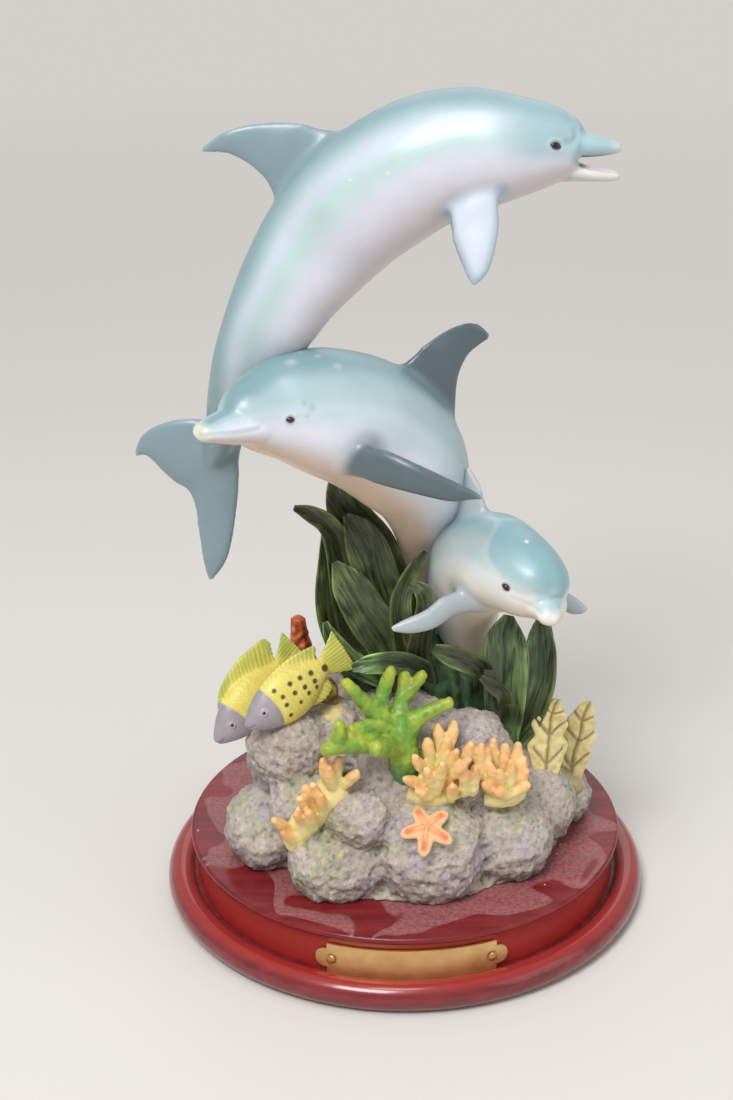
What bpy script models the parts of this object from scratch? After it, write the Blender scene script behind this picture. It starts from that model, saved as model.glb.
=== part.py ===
"""Figurine of three dolphins leaping over a reef, on a round wooden plinth.

The dolphins, the kelp, the fish and the corals are separate resin castings, bonded to a resin rock.
The rock stands on a turned plinth, which carries a bare brass plate held by two pins.
Origin: middle of the plinth's underside, +Z up. The plate faces -Y, and the upper dolphin leaps to +X.
"""
import math

import bmesh
import bpy
from mathutils import Matrix, Vector, noise

# Clearance between two castings that are bonded, and between a pin and its hole.
SEAT_GAP = 0.0003

# Points closer than this are one point.
MERGE = 0.000001

# Turned plinth: the half round moulding runs on to the band through most of a circle.
PLINTH_HEIGHT = 0.0199
BAND_RADIUS = 0.0613
MOULDING_OVERHANG = 0.0087
MOULDING_HEIGHT = 0.0084
MOULDING_SWEEP = math.radians(238.5)
MOULDING_STEPS = 9
LIP_OVERHANG = 0.0014
LIP_HEIGHT = 0.0022
EDGE_ROUND = 0.0010
PLINTH_STEPS = 60

# Brass plate and its two pins. The plate's rise is its distance above the moulding in front of it.
PLATE_LENGTH = 0.0532
PLATE_HEIGHT = 0.0092
PLATE_THICKNESS = 0.0006
PLATE_RISE = 0.00024
PLATE_TURN = math.radians(1.9)
PLATE_TONGUE_LENGTH = 0.0033
PLATE_TONGUE_HEIGHT = 0.0058
PIN_SPACING = 0.0440
PIN_HEAD_RADIUS = 0.0014
PIN_HEAD_HEIGHT = 0.0007
PIN_SHANK_RADIUS = 0.0006
PIN_DEPTH = 0.0060
PIN_POINT = 0.0010

# Dolphins: the largest half height of each body, and the fins' thickness at root and tip.
UPPER_GIRTH = 0.0170
MIDDLE_GIRTH = 0.0171
LOWER_GIRTH = 0.0131
DORSAL_ROOT_THICKNESS = 0.0056
DORSAL_TIP_THICKNESS = 0.0016
PECTORAL_ROOT_THICKNESS = 0.0066
PECTORAL_TIP_THICKNESS = 0.0022
FLUKE_ROOT_THICKNESS = 0.0062
FLUKE_TIP_THICKNESS = 0.0018

# Reef.
LEAF_THICKNESS = 0.0018
FISH_LENGTH = 0.0350
FISH_DEPTH = 0.0150
FISH_WIDTH = 0.0080
FISH_FIN_THICKNESS = 0.0013


def at(x, y, z):
    """A sculpted place in metres: millimetres from the plinth's axis and above its deck."""
    return Vector((x / 1000, y / 1000, PLINTH_HEIGHT + z / 1000))


def clear_scene():
    for thing in list(bpy.data.objects):
        bpy.data.objects.remove(thing, do_unlink=True)


def linear(hex_colour):
    """Linear RGBA of an sRGB hex colour."""
    shares = [int(hex_colour[i:i + 2], 16) / 255 for i in (0, 2, 4)]
    return [s / 12.92 if s <= 0.04045 else ((s + 0.055) / 1.055) ** 2.4 for s in shares] + [1.0]


def finish(name, hex_colour, roughness, metallic=0.0):
    """A Principled material with one colour."""
    material = bpy.data.materials.new(name)
    material.use_nodes = True
    shader = material.node_tree.nodes["Principled BSDF"]
    shader.inputs["Base Color"].default_value = linear(hex_colour)
    shader.inputs["Roughness"].default_value = roughness
    shader.inputs["Metallic"].default_value = metallic
    return material


def solid_from(bm, name):
    """Turns a bmesh into an object of the scene, with its faces out."""
    bmesh.ops.remove_doubles(bm, verts=bm.verts, dist=MERGE)
    bmesh.ops.recalc_face_normals(bm, faces=bm.faces)
    mesh = bpy.data.meshes.new(name)
    bm.to_mesh(mesh)
    bm.free()
    thing = bpy.data.objects.new(name, mesh)
    bpy.context.scene.collection.objects.link(thing)
    return thing


def keep_result(thing):
    """Replaces an object's mesh by what its modifiers make of it."""
    graph = bpy.context.evaluated_depsgraph_get()
    mesh = bpy.data.meshes.new_from_object(thing.evaluated_get(graph))
    thing.modifiers.clear()
    thing.data = mesh


def boolean(thing, others, operation, solver="EXACT"):
    """Joins objects to a solid, or cuts them out of it, one Boolean for each."""
    for other in others:
        step = thing.modifiers.new(operation.lower(), "BOOLEAN")
        step.operation = operation
        step.solver = solver
        step.object = other
    keep_result(thing)
    for other in others:
        bpy.data.objects.remove(other, do_unlink=True)


def fuse(name, solids):
    """One casting from solids that overlap, by the solver that keeps crossing skins closed."""
    casting, *rest = solids
    boolean(casting, rest, "UNION", "MANIFOLD")
    casting.name = name
    keep_outer_skin(casting)
    return casting


def grown(carrier):
    """A copy of a casting whose skin stands out by the seat's clearance."""
    bm = bmesh.new()
    bm.from_mesh(carrier.data)
    bm.normal_update()
    offsets = [vert.normal * SEAT_GAP * 1.2 for vert in bm.verts]
    for vert, offset in zip(bm.verts, offsets):
        vert.co += offset
    return solid_from(bm, "seat of " + carrier.name)


def seat(casting, *carriers):
    """Cuts a casting to fit the ones that it is bonded to, and keeps its main body."""
    boolean(casting, [grown(carrier) for carrier in carriers], "DIFFERENCE", "MANIFOLD")
    keep_outer_skin(casting)


def keep_outer_skin(casting):
    """Fills pockets that are sealed in, and deletes what a cut leaves on a carrier's far side."""
    bm = bmesh.new()
    bm.from_mesh(casting.data)
    left = set(bm.verts)
    bodies = []
    while left:
        front = [left.pop()]
        body = list(front)
        while front:
            here = front.pop()
            near = {edge.other_vert(here) for edge in here.link_edges} & left
            left -= near
            front.extend(near)
            body.extend(near)
        bodies.append(body)
    bodies.sort(key=len)
    for body in bodies[:-1]:
        bmesh.ops.delete(bm, geom=body, context="VERTS")
    bm.to_mesh(casting.data)
    bm.free()


def between(stations, along):
    """Smooth values at a share of the way along a list of stations, each a tuple of vectors."""
    last = len(stations) - 1
    reach = min(along * last, last - 0.0001)
    i = int(reach)
    t = reach - i
    before, start, end, after = (stations[min(max(i + k, 0), last)] for k in (-1, 0, 1, 2))
    values = []
    for a, b, c, d in zip(before, start, end, after):
        bend = (2 * a - 5 * b + 4 * c - d) * t ** 2 + (3 * b - a - 3 * c + d) * t ** 3
        values.append(0.5 * (2 * b + (c - a) * t + bend))
    return values


def swept(stations, rings, sides):
    """A closed solid through stations of middle, half width and half height vectors."""
    bm = bmesh.new()
    bmesh.ops.create_uvsphere(bm, u_segments=sides, v_segments=rings + 1, radius=1.0)
    for vert in bm.verts:
        ring = round(math.acos(max(-1.0, min(1.0, -vert.co.z))) / math.pi * (rings + 1))
        middle, across, upward = between(stations, min(max((ring - 1) / (rings - 1), 0), 1))
        if ring in (0, rings + 1):
            vert.co = middle
            continue
        turn = math.atan2(vert.co.y, vert.co.x)
        vert.co = middle + math.cos(turn) * across + math.sin(turn) * upward
    return solid_from(bm, "swept")


def trunk(spine, girth, rings, sides):
    """A body through rows of place, share of the girth, width for height and flank direction."""
    places = [at(*row[0]) for row in spine]
    stations = []
    for i, (_, share, slim, flank) in enumerate(spine):
        ahead = (places[min(i + 1, len(places) - 1)] - places[max(i - 1, 0)]).normalized()
        side = Vector(flank)
        side = (side - side.dot(ahead) * ahead).normalized()
        stations.append((places[i], side * girth * share * slim, side.cross(ahead) * girth * share))
    return swept(stations, rings, sides)


def fin(rows, root_thickness, tip_thickness, rings, sides, both_tips=False):
    """A fin through rows of leading and trailing edge points, its root run on into the body."""
    edges = [(at(*front), at(*rear)) for front, rear in rows]
    if not both_tips:
        edges.insert(0, tuple(1.7 * near - 0.7 * far for near, far in zip(edges[0], edges[1])))
    middles = [(front + rear) / 2 for front, rear in edges]
    stations = []
    for i, (front, rear) in enumerate(edges):
        span = middles[min(i + 1, len(edges) - 1)] - middles[max(i - 1, 0)]
        chord = (front - rear) / 2
        out = i / (len(edges) - 1)
        share = abs(2 * out - 1) if both_tips else out
        thickness = root_thickness + (tip_thickness - root_thickness) * share
        thickness = min(thickness, 1.4 * chord.length)
        stations.append((middles[i], chord, chord.cross(span).normalized() * thickness / 2))
    return swept(stations, rings, sides)


def mirrored(rows, place, flank):
    """The same fin on the other flank: rows mirrored in the body's middle plane."""
    normal = Vector(flank).normalized()

    def other_side(point):
        return tuple(Vector(point) - 2 * (Vector(point) - Vector(place)).dot(normal) * normal)

    return [(other_side(front), other_side(rear)) for front, rear in rows]


def dolphin(name, spine, girth, snouts, dorsal, pectorals, fluke=None):
    """A dolphin: body, snout or jaws, dorsal fin, two pectoral fins and, where it shows, the fluke."""
    pieces = [trunk(spine, girth, 20, 16)]
    pieces += [trunk(snout, girth, 7, 10) for snout in snouts]
    pieces.append(fin(dorsal, DORSAL_ROOT_THICKNESS, DORSAL_TIP_THICKNESS, 8, 8))
    for rows in pectorals:
        pieces.append(fin(rows, PECTORAL_ROOT_THICKNESS, PECTORAL_TIP_THICKNESS, 8, 8))
    if fluke:
        pieces.append(fin(fluke, FLUKE_ROOT_THICKNESS, FLUKE_TIP_THICKNESS, 16, 8, both_tips=True))
    return fuse(name, pieces)


def plinth():
    """Turned wood: a half round moulding, a straight band and a deck with a small lip."""
    bead = MOULDING_HEIGHT / 2
    bead_middle = BAND_RADIUS + MOULDING_OVERHANG - bead
    profile = [(0, 0)]
    for step in range(MOULDING_STEPS + 1):
        turn = MOULDING_SWEEP * step / MOULDING_STEPS - math.pi / 2
        profile.append((bead_middle + bead * math.cos(turn), bead + bead * math.sin(turn)))
    lip = BAND_RADIUS + LIP_OVERHANG
    under_lip = PLINTH_HEIGHT - LIP_HEIGHT
    profile += [(BAND_RADIUS, profile[-1][1]), (BAND_RADIUS, under_lip), (lip, under_lip + LIP_OVERHANG / 2)]
    for step in range(4):
        turn = math.radians(30 * step)
        profile.append((
            lip - EDGE_ROUND + EDGE_ROUND * math.cos(turn),
            PLINTH_HEIGHT - EDGE_ROUND + EDGE_ROUND * math.sin(turn),
        ))
    profile.append((0, PLINTH_HEIGHT))
    return turned("plinth", profile, PLINTH_STEPS)


def turned(name, profile, steps):
    """A solid of revolution about Z from a profile of radius and height that ends on the axis."""
    bm = bmesh.new()
    verts = [bm.verts.new((radius, 0, height)) for radius, height in profile]
    edges = [bm.edges.new(pair) for pair in zip(verts, verts[1:])]
    bmesh.ops.spin(
        bm, geom=verts + edges, cent=(0, 0, 0), axis=(0, 0, 1), steps=steps,
        angle=2 * math.pi, use_merge=True,
    )
    return solid_from(bm, name)


def plate_middle_height():
    """Height of the plate's middle, with its lower edge just clear of the moulding."""
    bead = MOULDING_HEIGHT / 2
    plate_front = BAND_RADIUS + SEAT_GAP + PLATE_THICKNESS
    inward = min(max(BAND_RADIUS + MOULDING_OVERHANG - bead - plate_front, 0), bead)
    return bead + math.sqrt(bead ** 2 - inward ** 2) + PLATE_RISE + PLATE_HEIGHT / 2


def on_band(turn):
    """The matrix of a pin or hole at the plate's middle height: its local Z points out of the band."""
    facing = Matrix.Rotation(turn, 4, "Z") @ Matrix.Rotation(math.radians(90), 4, "X")
    return facing @ Matrix.Translation((0, plate_middle_height(), BAND_RADIUS))


def pin_hole(turn, name):
    """A drilled hole for a pin, through the plate and into the plinth."""
    radius = PIN_SHANK_RADIUS + SEAT_GAP
    front = SEAT_GAP * 2 + PLATE_THICKNESS + PIN_HEAD_HEIGHT
    back = -PIN_DEPTH - SEAT_GAP
    hole = turned(name, [(0, back), (radius, back), (radius, front), (0, front)], 12)
    hole.data.transform(on_band(turn))
    return hole


def pin(name, turn):
    """A brass pin: a domed head and a shank that goes into the plinth."""
    under_head = PLATE_THICKNESS + 2 * SEAT_GAP
    profile = [(0, -PIN_DEPTH), (PIN_SHANK_RADIUS, -PIN_DEPTH + PIN_POINT), (PIN_SHANK_RADIUS, under_head)]
    for step in range(4):
        turn_up = math.radians(30 * step)
        profile.append((
            PIN_HEAD_RADIUS * math.cos(turn_up),
            under_head + PIN_HEAD_HEIGHT * (0.3 + 0.7 * math.sin(turn_up)),
        ))
    profile.insert(3, (PIN_HEAD_RADIUS, under_head))
    nail = turned(name, profile, 12)
    nail.data.transform(on_band(turn))
    return nail


def plate_half_height(place):
    """Half height of the plate at a place along it: full, then a rounded tongue past each shoulder."""
    shoulder = PLATE_LENGTH / 2 - PLATE_TONGUE_LENGTH
    if abs(place) <= shoulder:
        return PLATE_HEIGHT / 2
    out = (abs(place) - shoulder) / PLATE_TONGUE_LENGTH
    return PLATE_TONGUE_HEIGHT / 2 * math.sqrt(max(1 - out ** 3, 0.03))


def name_plate():
    """A bare brass plate with a rounded tongue at each end, bent round the plinth's band."""
    shoulder = PLATE_LENGTH / 2 - PLATE_TONGUE_LENGTH
    tongue = [shoulder + PLATE_TONGUE_LENGTH * share for share in (0.01, 0.3, 0.6, 0.8, 0.92, 1.0)]
    steps = 16
    middle = [-shoulder + 2 * shoulder * step / steps for step in range(steps + 1)]
    bm = bmesh.new()
    columns = []
    for place in [-spot for spot in reversed(tongue)] + middle + tongue:
        angle = PLATE_TURN + place / BAND_RADIUS
        foot = Vector((math.sin(angle), -math.cos(angle), 0)) * (BAND_RADIUS + SEAT_GAP)
        half = Vector((0, 0, plate_half_height(place)))
        foot.z = plate_middle_height()
        columns.append((bm.verts.new(foot - half), bm.verts.new(foot + half)))
    for left, right in zip(columns, columns[1:]):
        bm.faces.new((left[0], right[0], right[1], left[1]))
    lifted = bmesh.ops.extrude_face_region(bm, geom=list(bm.faces))["geom"]
    for vert in [item for item in lifted if isinstance(item, bmesh.types.BMVert)]:
        vert.co += vert.co.xy.to_3d().normalized() * PLATE_THICKNESS
    return solid_from(bm, "name_plate")


# Boulders of the rock: middle and half sizes in millimetres.
BOULDERS = [
    ((2, 2, 6), (34, 34, 42)),
    ((1, -3, 0), (45, 42, 6)),
    ((-32, -21, 36), (12, 12, 13)),
    ((-28, -29, 22), (10, 10, 10)),
    ((-39, -18, 8), (12, 14, 13)),
    ((-12, -35, 23), (10.5, 10, 10)),
    ((-18, -34, 7), (14.5, 14, 13)),
    ((7, -34, 10), (16, 15, 18)),
    ((28, -23, 8), (14, 15.5, 15)),
    ((46, 3, 6), (9, 11, 9.5)),
    ((38, -8, 10), (12, 14, 12)),
    ((0, -23, 28), (15, 14, 18)),
    ((18, -20, 29), (13, 13, 17)),
    ((-20, -15, 32), (13, 12, 15)),
    ((27, 2, 20), (14, 16, 14)),
    ((-35, 2, 20), (11, 14, 16)),
    ((-30, 24, 9), (16, 15, 15)),
    ((-2, 32, 10), (17, 14, 16)),
    ((28, 26, 8), (16, 15, 14)),
    ((-14, 22, 27), (14, 13, 14)),
    ((16, 20, 25), (14, 13, 14)),
]
LUMP_HEIGHT = 0.0009
LUMP_SIZE = 0.0075


def boulder(middle, halves):
    """A worn boulder: an ellipsoid with a lumpy skin."""
    bm = bmesh.new()
    bmesh.ops.create_uvsphere(bm, u_segments=12, v_segments=8, radius=1.0)
    for vert in bm.verts:
        ball = vert.co.normalized()
        spot = at(*middle) + Vector([b * h / 1000 for b, h in zip(ball, halves)])
        vert.co = spot + ball * noise.noise(spot / LUMP_SIZE) * LUMP_HEIGHT
    return solid_from(bm, "boulder")


def rock_base():
    """The cast rock: fused boulders with a flat underside that stands on the deck."""
    rock = fuse("rock_base", [boulder(*row) for row in BOULDERS])
    bm = bmesh.new()
    bm.from_mesh(rock.data)
    foot = Vector((0, 0, PLINTH_HEIGHT + SEAT_GAP))
    cut = bmesh.ops.bisect_plane(
        bm, geom=list(bm.verts) + list(bm.edges) + list(bm.faces), plane_co=foot,
        plane_no=(0, 0, -1), clear_outer=True, dist=MERGE,
    )["geom_cut"]
    rim = [item for item in cut if isinstance(item, bmesh.types.BMEdge)]
    bmesh.ops.edgeloop_fill(bm, edges=rim)
    bmesh.ops.recalc_face_normals(bm, faces=bm.faces)
    bm.to_mesh(rock.data)
    bm.free()
    return rock


AWAY = (0, 0.97, -0.25)

# Upper dolphin, nose to tail: place, share of the girth, width for height, direction of its far flank.
UPPER_SPINE = [
    ((44, -17, 202.5), 0.22, 1.0, AWAY),
    ((42.5, -17, 203), 0.40, 1.0, AWAY),
    ((37, -16, 203.5), 0.58, 0.98, AWAY),
    ((27, -15, 203), 0.77, 0.97, AWAY),
    ((18, -13, 202), 0.90, 0.95, AWAY),
    ((9, -12, 200), 0.96, 0.95, AWAY),
    ((0, -11, 195.5), 1.0, 0.94, AWAY),
    ((-12, -10, 187), 1.0, 0.92, AWAY),
    ((-21, -9, 177), 0.93, 0.90, AWAY),
    ((-29, -12, 166.6), 0.80, 0.88, AWAY),
    ((-35, -13, 156.2), 0.69, 0.86, (-0.1, 0.96, -0.25)),
    ((-41, -9.5, 144.5), 0.55, 0.84, (-0.3, 0.90, -0.1)),
    ((-46, -1, 131), 0.42, 0.86, (-0.55, 0.75, 0.1)),
    ((-50, 6, 118), 0.27, 1.0, (-0.85, 0.30, 0.45)),
    ((-53, 10, 109), 0.17, 1.1, (-0.85, 0.20, 0.50)),
]
UPPER_JAWS = [
    [
        ((37, -16, 206.5), 0.30, 1.3, AWAY),
        ((43, -17, 204.4), 0.21, 1.3, AWAY),
        ((48, -18, 203.8), 0.15, 1.3, AWAY),
        ((52.5, -18, 203.4), 0.09, 1.5, AWAY),
        ((54, -18, 203.2), 0.05, 1.7, AWAY),
    ],
    [
        ((36, -16, 199), 0.30, 1.3, AWAY),
        ((42, -17, 197.4), 0.16, 1.6, AWAY),
        ((48, -18, 196.7), 0.11, 1.7, AWAY),
        ((52.5, -18, 196.3), 0.08, 1.6, AWAY),
        ((54, -18, 196.2), 0.04, 1.7, AWAY),
    ],
]
UPPER_DORSAL = [
    ((-11, -7, 205), (-29, -7, 179)),
    ((-20, -6.5, 206.5), (-34, -6.5, 190)),
    ((-28, -6, 207.5), (-36.5, -6, 194.5)),
    ((-37, -5, 207), (-40.5, -5, 197.5)),
    ((-45, -5, 205), (-45, -5, 199.5)),
    ((-51, -4, 200.7), (-51, -4, 199.5)),
]
UPPER_PECTORAL = [
    ((24.5, -21, 199), (13, -21, 191)),
    ((24, -25, 195), (11.5, -25, 188)),
    ((24, -27, 189), (12, -27, 184.5)),
    ((23, -30, 182), (14, -30, 179.5)),
    ((21, -32, 176), (16, -32, 175)),
    ((18, -33, 173), (17, -33, 173)),
]
UPPER_FLUKE = [
    ((-75, 13, 110.8), (-75, 13, 109.4)),
    ((-72.5, 13, 116), (-71.5, 13, 109.5)),
    ((-66, 12, 120), (-67, 12, 105)),
    ((-57, 11, 121.5), (-63.5, 12, 101.5)),
    ((-44, 10, 121), (-61, 12, 99.5)),
    ((-45.5, 10, 109), (-59.5, 12, 96)),
    ((-46.5, 10, 97), (-58, 11, 88)),
    ((-49.5, 9, 81), (-57, 10, 79)),
    ((-54.2, 9, 73.3), (-55.6, 9, 73)),
]

# Middle dolphin: its head comes towards the front left, and its tail goes down into the kelp.
MIDDLE_FLANK = (0.62, -0.78, 0)
MIDDLE_TURNED = (0.70, -0.70, 0)
MIDDLE_SPINE = [
    ((-43.5, -39, 140.5), 0.18, 1.0, MIDDLE_FLANK),
    ((-42, -37, 140.5), 0.36, 1.0, MIDDLE_FLANK),
    ((-37.5, -31, 139.0), 0.60, 0.98, MIDDLE_FLANK),
    ((-31, -25.5, 138.2), 0.80, 0.97, MIDDLE_FLANK),
    ((-22, -19.5, 135.2), 0.97, 0.97, MIDDLE_FLANK),
    ((-10, -12, 128.2), 1.05, 0.96, MIDDLE_FLANK),
    ((0, -6, 117), 1.0, 0.95, MIDDLE_TURNED),
    ((6, 2, 102), 0.78, 0.93, MIDDLE_TURNED),
    ((7.5, 8, 84), 0.52, 0.90, MIDDLE_TURNED),
    ((7, 12, 65), 0.34, 0.85, MIDDLE_TURNED),
    ((7, 14, 48), 0.26, 0.85, MIDDLE_TURNED),
    ((7, 14, 32), 0.24, 0.85, MIDDLE_TURNED),
]
MIDDLE_SNOUT = [
    ((-39, -34, 137.5), 0.34, 1.3, MIDDLE_FLANK),
    ((-44.5, -40, 138.5), 0.25, 1.3, MIDDLE_FLANK),
    ((-48, -44, 139.2), 0.18, 1.4, MIDDLE_FLANK),
    ((-50, -46.4, 139.5), 0.13, 1.4, MIDDLE_FLANK),
    ((-50.7, -47.2, 139.6), 0.07, 1.5, MIDDLE_FLANK),
]
MIDDLE_DORSAL = [
    ((-3, -9, 142), (14, 0, 122)),
    ((6, -6, 148.5), (14.5, -1, 130)),
    ((11, -3, 151), (14.5, -1, 137)),
    ((16, -1, 152.5), (17, 0, 143)),
    ((20, 0, 152), (20.5, 1, 146)),
    ((23, 1, 149), (22.8, 1, 147.5)),
]
MIDDLE_PECTORAL = [
    ((-15, -29, 130), (-14, -28, 121)),
    ((-6, -36, 131), (-5, -36, 121)),
    ((2, -40, 129), (4, -40, 120)),
    ((11, -41, 125), (12, -41, 118.5)),
    ((17, -40, 121.5), (17, -40, 118.5)),
    ((20, -40, 119.6), (20, -40, 118.6)),
]

# Lower dolphin: it rises out of the kelp and dives forwards to the right.
LOWER_FLANK = (0.68, 0.73, 0)
LOWER_SPINE = [
    ((39.5, -37, 88.5), 0.20, 1.0, LOWER_FLANK),
    ((38.5, -35, 89.5), 0.48, 1.0, LOWER_FLANK),
    ((35.5, -31, 90), 0.72, 1.0, LOWER_FLANK),
    ((30, -24, 91), 0.89, 0.98, LOWER_FLANK),
    ((25, -17, 91), 0.99, 0.96, LOWER_FLANK),
    ((20, -9, 86.5), 1.0, 0.95, LOWER_FLANK),
    ((17, -2, 75), 0.86, 0.93, LOWER_FLANK),
    ((18, 4, 59), 0.65, 0.90, LOWER_FLANK),
    ((20, 8, 46), 0.47, 0.88, LOWER_FLANK),
    ((22, 9, 34), 0.34, 0.85, LOWER_FLANK),
    ((23, 9, 20), 0.28, 0.85, LOWER_FLANK),
]
LOWER_SNOUT = [
    ((36, -32, 86.5), 0.42, 1.3, LOWER_FLANK),
    ((39, -37, 86), 0.31, 1.3, LOWER_FLANK),
    ((40, -41, 85.3), 0.21, 1.3, LOWER_FLANK),
    ((40.5, -43.5, 84.8), 0.12, 1.4, LOWER_FLANK),
    ((40.7, -44.3, 84.6), 0.05, 1.7, LOWER_FLANK),
]
LOWER_DORSAL = [
    ((24, -17, 97), (15, -2, 92)),
    ((22.3, -13.5, 105.5), (14.2, -4, 101.6)),
    ((20.6, -11, 109.8), (15.4, -5, 107.3)),
    ((18.6, -9, 113), (16.4, -6.5, 111.5)),
    ((17.4, -8, 114.6), (17.1, -7.5, 114.2)),
]
LOWER_PECTORAL = [
    ((19, -21, 84), (22, -21, 77)),
    ((12, -25, 85), (14, -25, 78.5)),
    ((6, -29, 82), (8, -29, 76.5)),
    ((0, -31, 80), (2, -31, 76)),
    ((-3.6, -32, 78.4), (-2.8, -32, 77)),
]
LOWER_FAR_PECTORAL = [
    ((40, -17, 82), (38, -12, 77)),
    ((44, -15, 80), (42, -12, 75)),
    ((48, -14.5, 77.5), (46, -13, 73)),
    ((50.5, -14, 75.2), (49.6, -14, 73.4)),
]

# Kelp leaves, tip to foot: place and half width in millimetres.
LEAVES = [
    [
        (-30, -2, 100, 0.8), (-26, -1, 98, 2.1), (-21, 0, 94, 2.8),
        (-18, 1, 86, 3.6), (-16, 2, 70, 4.2), (-12, 3, 48, 4),
    ],
    [
        (-20, 6, 105, 0.8), (-18, 6, 99, 3.9), (-14, 6, 92, 5.6),
        (-8, 6, 84, 5.6), (-3, 4, 70, 5.1), (-1, 2, 50, 4),
    ],
    [
        (-16, 0, 97, 0.8), (-13, -1, 93, 3.9), (-10, -2, 87, 5.5),
        (-7, -3, 77, 5.6), (-4, -3, 65, 4.5), (-2, -3, 48, 3.6),
    ],
    [
        (-19, -7, 86, 0.8), (-16, -8, 81, 3.9), (-13, -9, 76, 5.0),
        (-9, -10, 69, 5.3), (-4, -10, 60, 4.7), (-1, -8, 47, 4),
    ],
    [
        (-22, 4, 90, 0.8), (-21, 3, 83, 2.5), (-21, 2, 73, 3.4),
        (-20, 1, 64, 3.7), (-16, 1, 54, 4.0), (-12, 1, 45, 3.4),
    ],
    [(-22, -6, 67, 0.7), (-20, -7, 62, 2.2), (-16, -8, 57, 2.8), (-11, -8, 53, 2.8), (-5, -6, 49, 2.6)],
    [
        (6, -9, 90, 0.7), (4, -10, 87, 1.7), (1, -11, 82, 2.2),
        (-1, -11, 75, 2.8), (0, -10, 63, 3.1), (2, -7, 50, 3),
    ],
    [
        (2, -13, 82, 0.8), (5, -15, 81, 2.2), (6, -16, 77, 2.5),
        (5, -15, 70, 2.7), (4, -12, 60, 3.3), (6, -8, 49, 3),
    ],
    [(-14, -26, 63, 0.8), (-10, -26, 64, 2.0), (-5, -23, 63, 2.4), (0, -18, 60, 2.6), (6, -10, 53, 2.6)],
    [(8, -24, 68, 1.1), (12, -24, 66, 2.4), (17, -22, 63, 2.7), (21, -17, 58, 2.6), (22, -8, 48, 2.6)],
    [(21, -22, 58, 0.7), (24, -21, 55, 1.8), (27, -18, 51, 2.0), (28, -12, 44, 2.2)],
    [
        (29, -10, 71, 1.1), (28, -12, 66, 4.1), (28, -13, 60, 5.0),
        (28, -13, 51, 4.7), (28, -11, 40, 4.2), (27, -8, 30, 4),
    ],
    [
        (38, -6, 68, 0.8), (38, -7, 63, 2.8), (38, -8, 57, 3.6),
        (37, -9, 48, 4.0), (34, -8, 38, 4.0), (30, -6, 30, 3.6),
    ],
    [(40.5, 4, 63, 0.9), (39.5, 3, 57, 2.6), (38.5, 2, 51, 3.1), (36.5, 1, 42, 3.4), (33, -1, 32, 3.5)],
]
# Kelp foot: place and half size along the clump.
CLUMP = [
    (-17, 4, 47, 5), (-12, 4, 48, 8), (-3, 4, 50, 10), (8, 2, 48, 11),
    (19, -2, 42, 10), (28, -4, 34, 8), (33, -5, 30, 5),
]
STALK = [(1, 9, 74, 3), (0, 9, 70, 6), (0, 8, 58, 8), (2, 6, 46, 9)]
LEAF_FACING = Vector((0.1, -0.9, 0.4)).normalized()


def leaf(rows):
    """A kelp leaf: a thin blade along its midrib, facing the front."""
    places = [at(*row[:3]) for row in rows]
    stations = []
    for i, row in enumerate(rows):
        ahead = (places[min(i + 1, len(rows) - 1)] - places[max(i - 1, 0)]).normalized()
        across = ahead.cross(LEAF_FACING).normalized()
        thickness = min(LEAF_THICKNESS / 2, row[3] / 1000)
        stations.append((places[i], across * row[3] / 1000, across.cross(ahead) * thickness))
    return swept(stations, 8, 6)


def clump(rows):
    """A rounded mass through rows of place and half size."""
    upright = Vector((0, 0, 1)) if abs(rows[0][0] - rows[-1][0]) > 10 else Vector((0, 1, 0))
    across = Vector((0, 1, 0)) if upright.z else Vector((1, 0, 0))
    stations = [(at(*row[:3]), across * row[3] / 1000, upright * row[3] / 1000) for row in rows]
    return swept(stations, 8, 10)


def kelp():
    """The cast kelp: leaves that rise from one clump round the two tails."""
    return fuse("kelp", [clump(CLUMP), clump(STALK)] + [leaf(rows) for rows in LEAVES])


# Fish, nose to tail stock: share of the length, share of the half depth, share of the half width.
FISH_PROFILE = [
    (0.00, 0.12, 0.20),
    (0.06, 0.36, 0.50),
    (0.18, 0.70, 0.85),
    (0.36, 0.98, 1.00),
    (0.54, 0.92, 0.85),
    (0.70, 0.55, 0.50),
    (0.80, 0.30, 0.30),
]
# Fish fins: front and rear edge points as shares of length and of half depth, root to tip.
FISH_FINS = [
    [((0.26, 0.7), (0.74, 0.3)), ((0.40, 1.25), (0.80, 0.75)), ((0.56, 1.45), (0.84, 1.2))],
    [((0.40, -0.7), (0.74, -0.3)), ((0.52, -1.2), (0.78, -0.8)), ((0.66, -1.4), (0.80, -1.15))],
    [((0.72, 0.2), (0.72, -0.2)), ((0.88, 0.6), (0.86, -0.6)), ((1.0, 0.95), (1.0, -0.95))],
]


def fish(name, nose, tail, crest):
    """A reef fish from its nose to its tail: a deep flat body with fins along back and belly."""
    start = at(*nose)
    ahead = (at(*tail) - start).normalized()
    up = Vector(crest)
    up = (up - up.dot(ahead) * ahead).normalized()
    side = up.cross(ahead)
    half_depth = FISH_DEPTH / 2

    def spot(length_share, depth_share):
        return start + ahead * FISH_LENGTH * length_share + up * half_depth * depth_share

    stations = [
        (spot(length, 0), side * FISH_WIDTH / 2 * width, up * half_depth * depth)
        for length, depth, width in FISH_PROFILE
    ]
    pieces = [swept(stations, 9, 10)]
    for rows in FISH_FINS:
        stations = []
        for front, rear in rows:
            lead, trail = spot(*front), spot(*rear)
            stations.append(((lead + trail) / 2, (lead - trail) / 2, side * FISH_FIN_THICKNESS / 2))
        pieces.append(swept(stations, 4, 8))
    return fuse(name, pieces)


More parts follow.
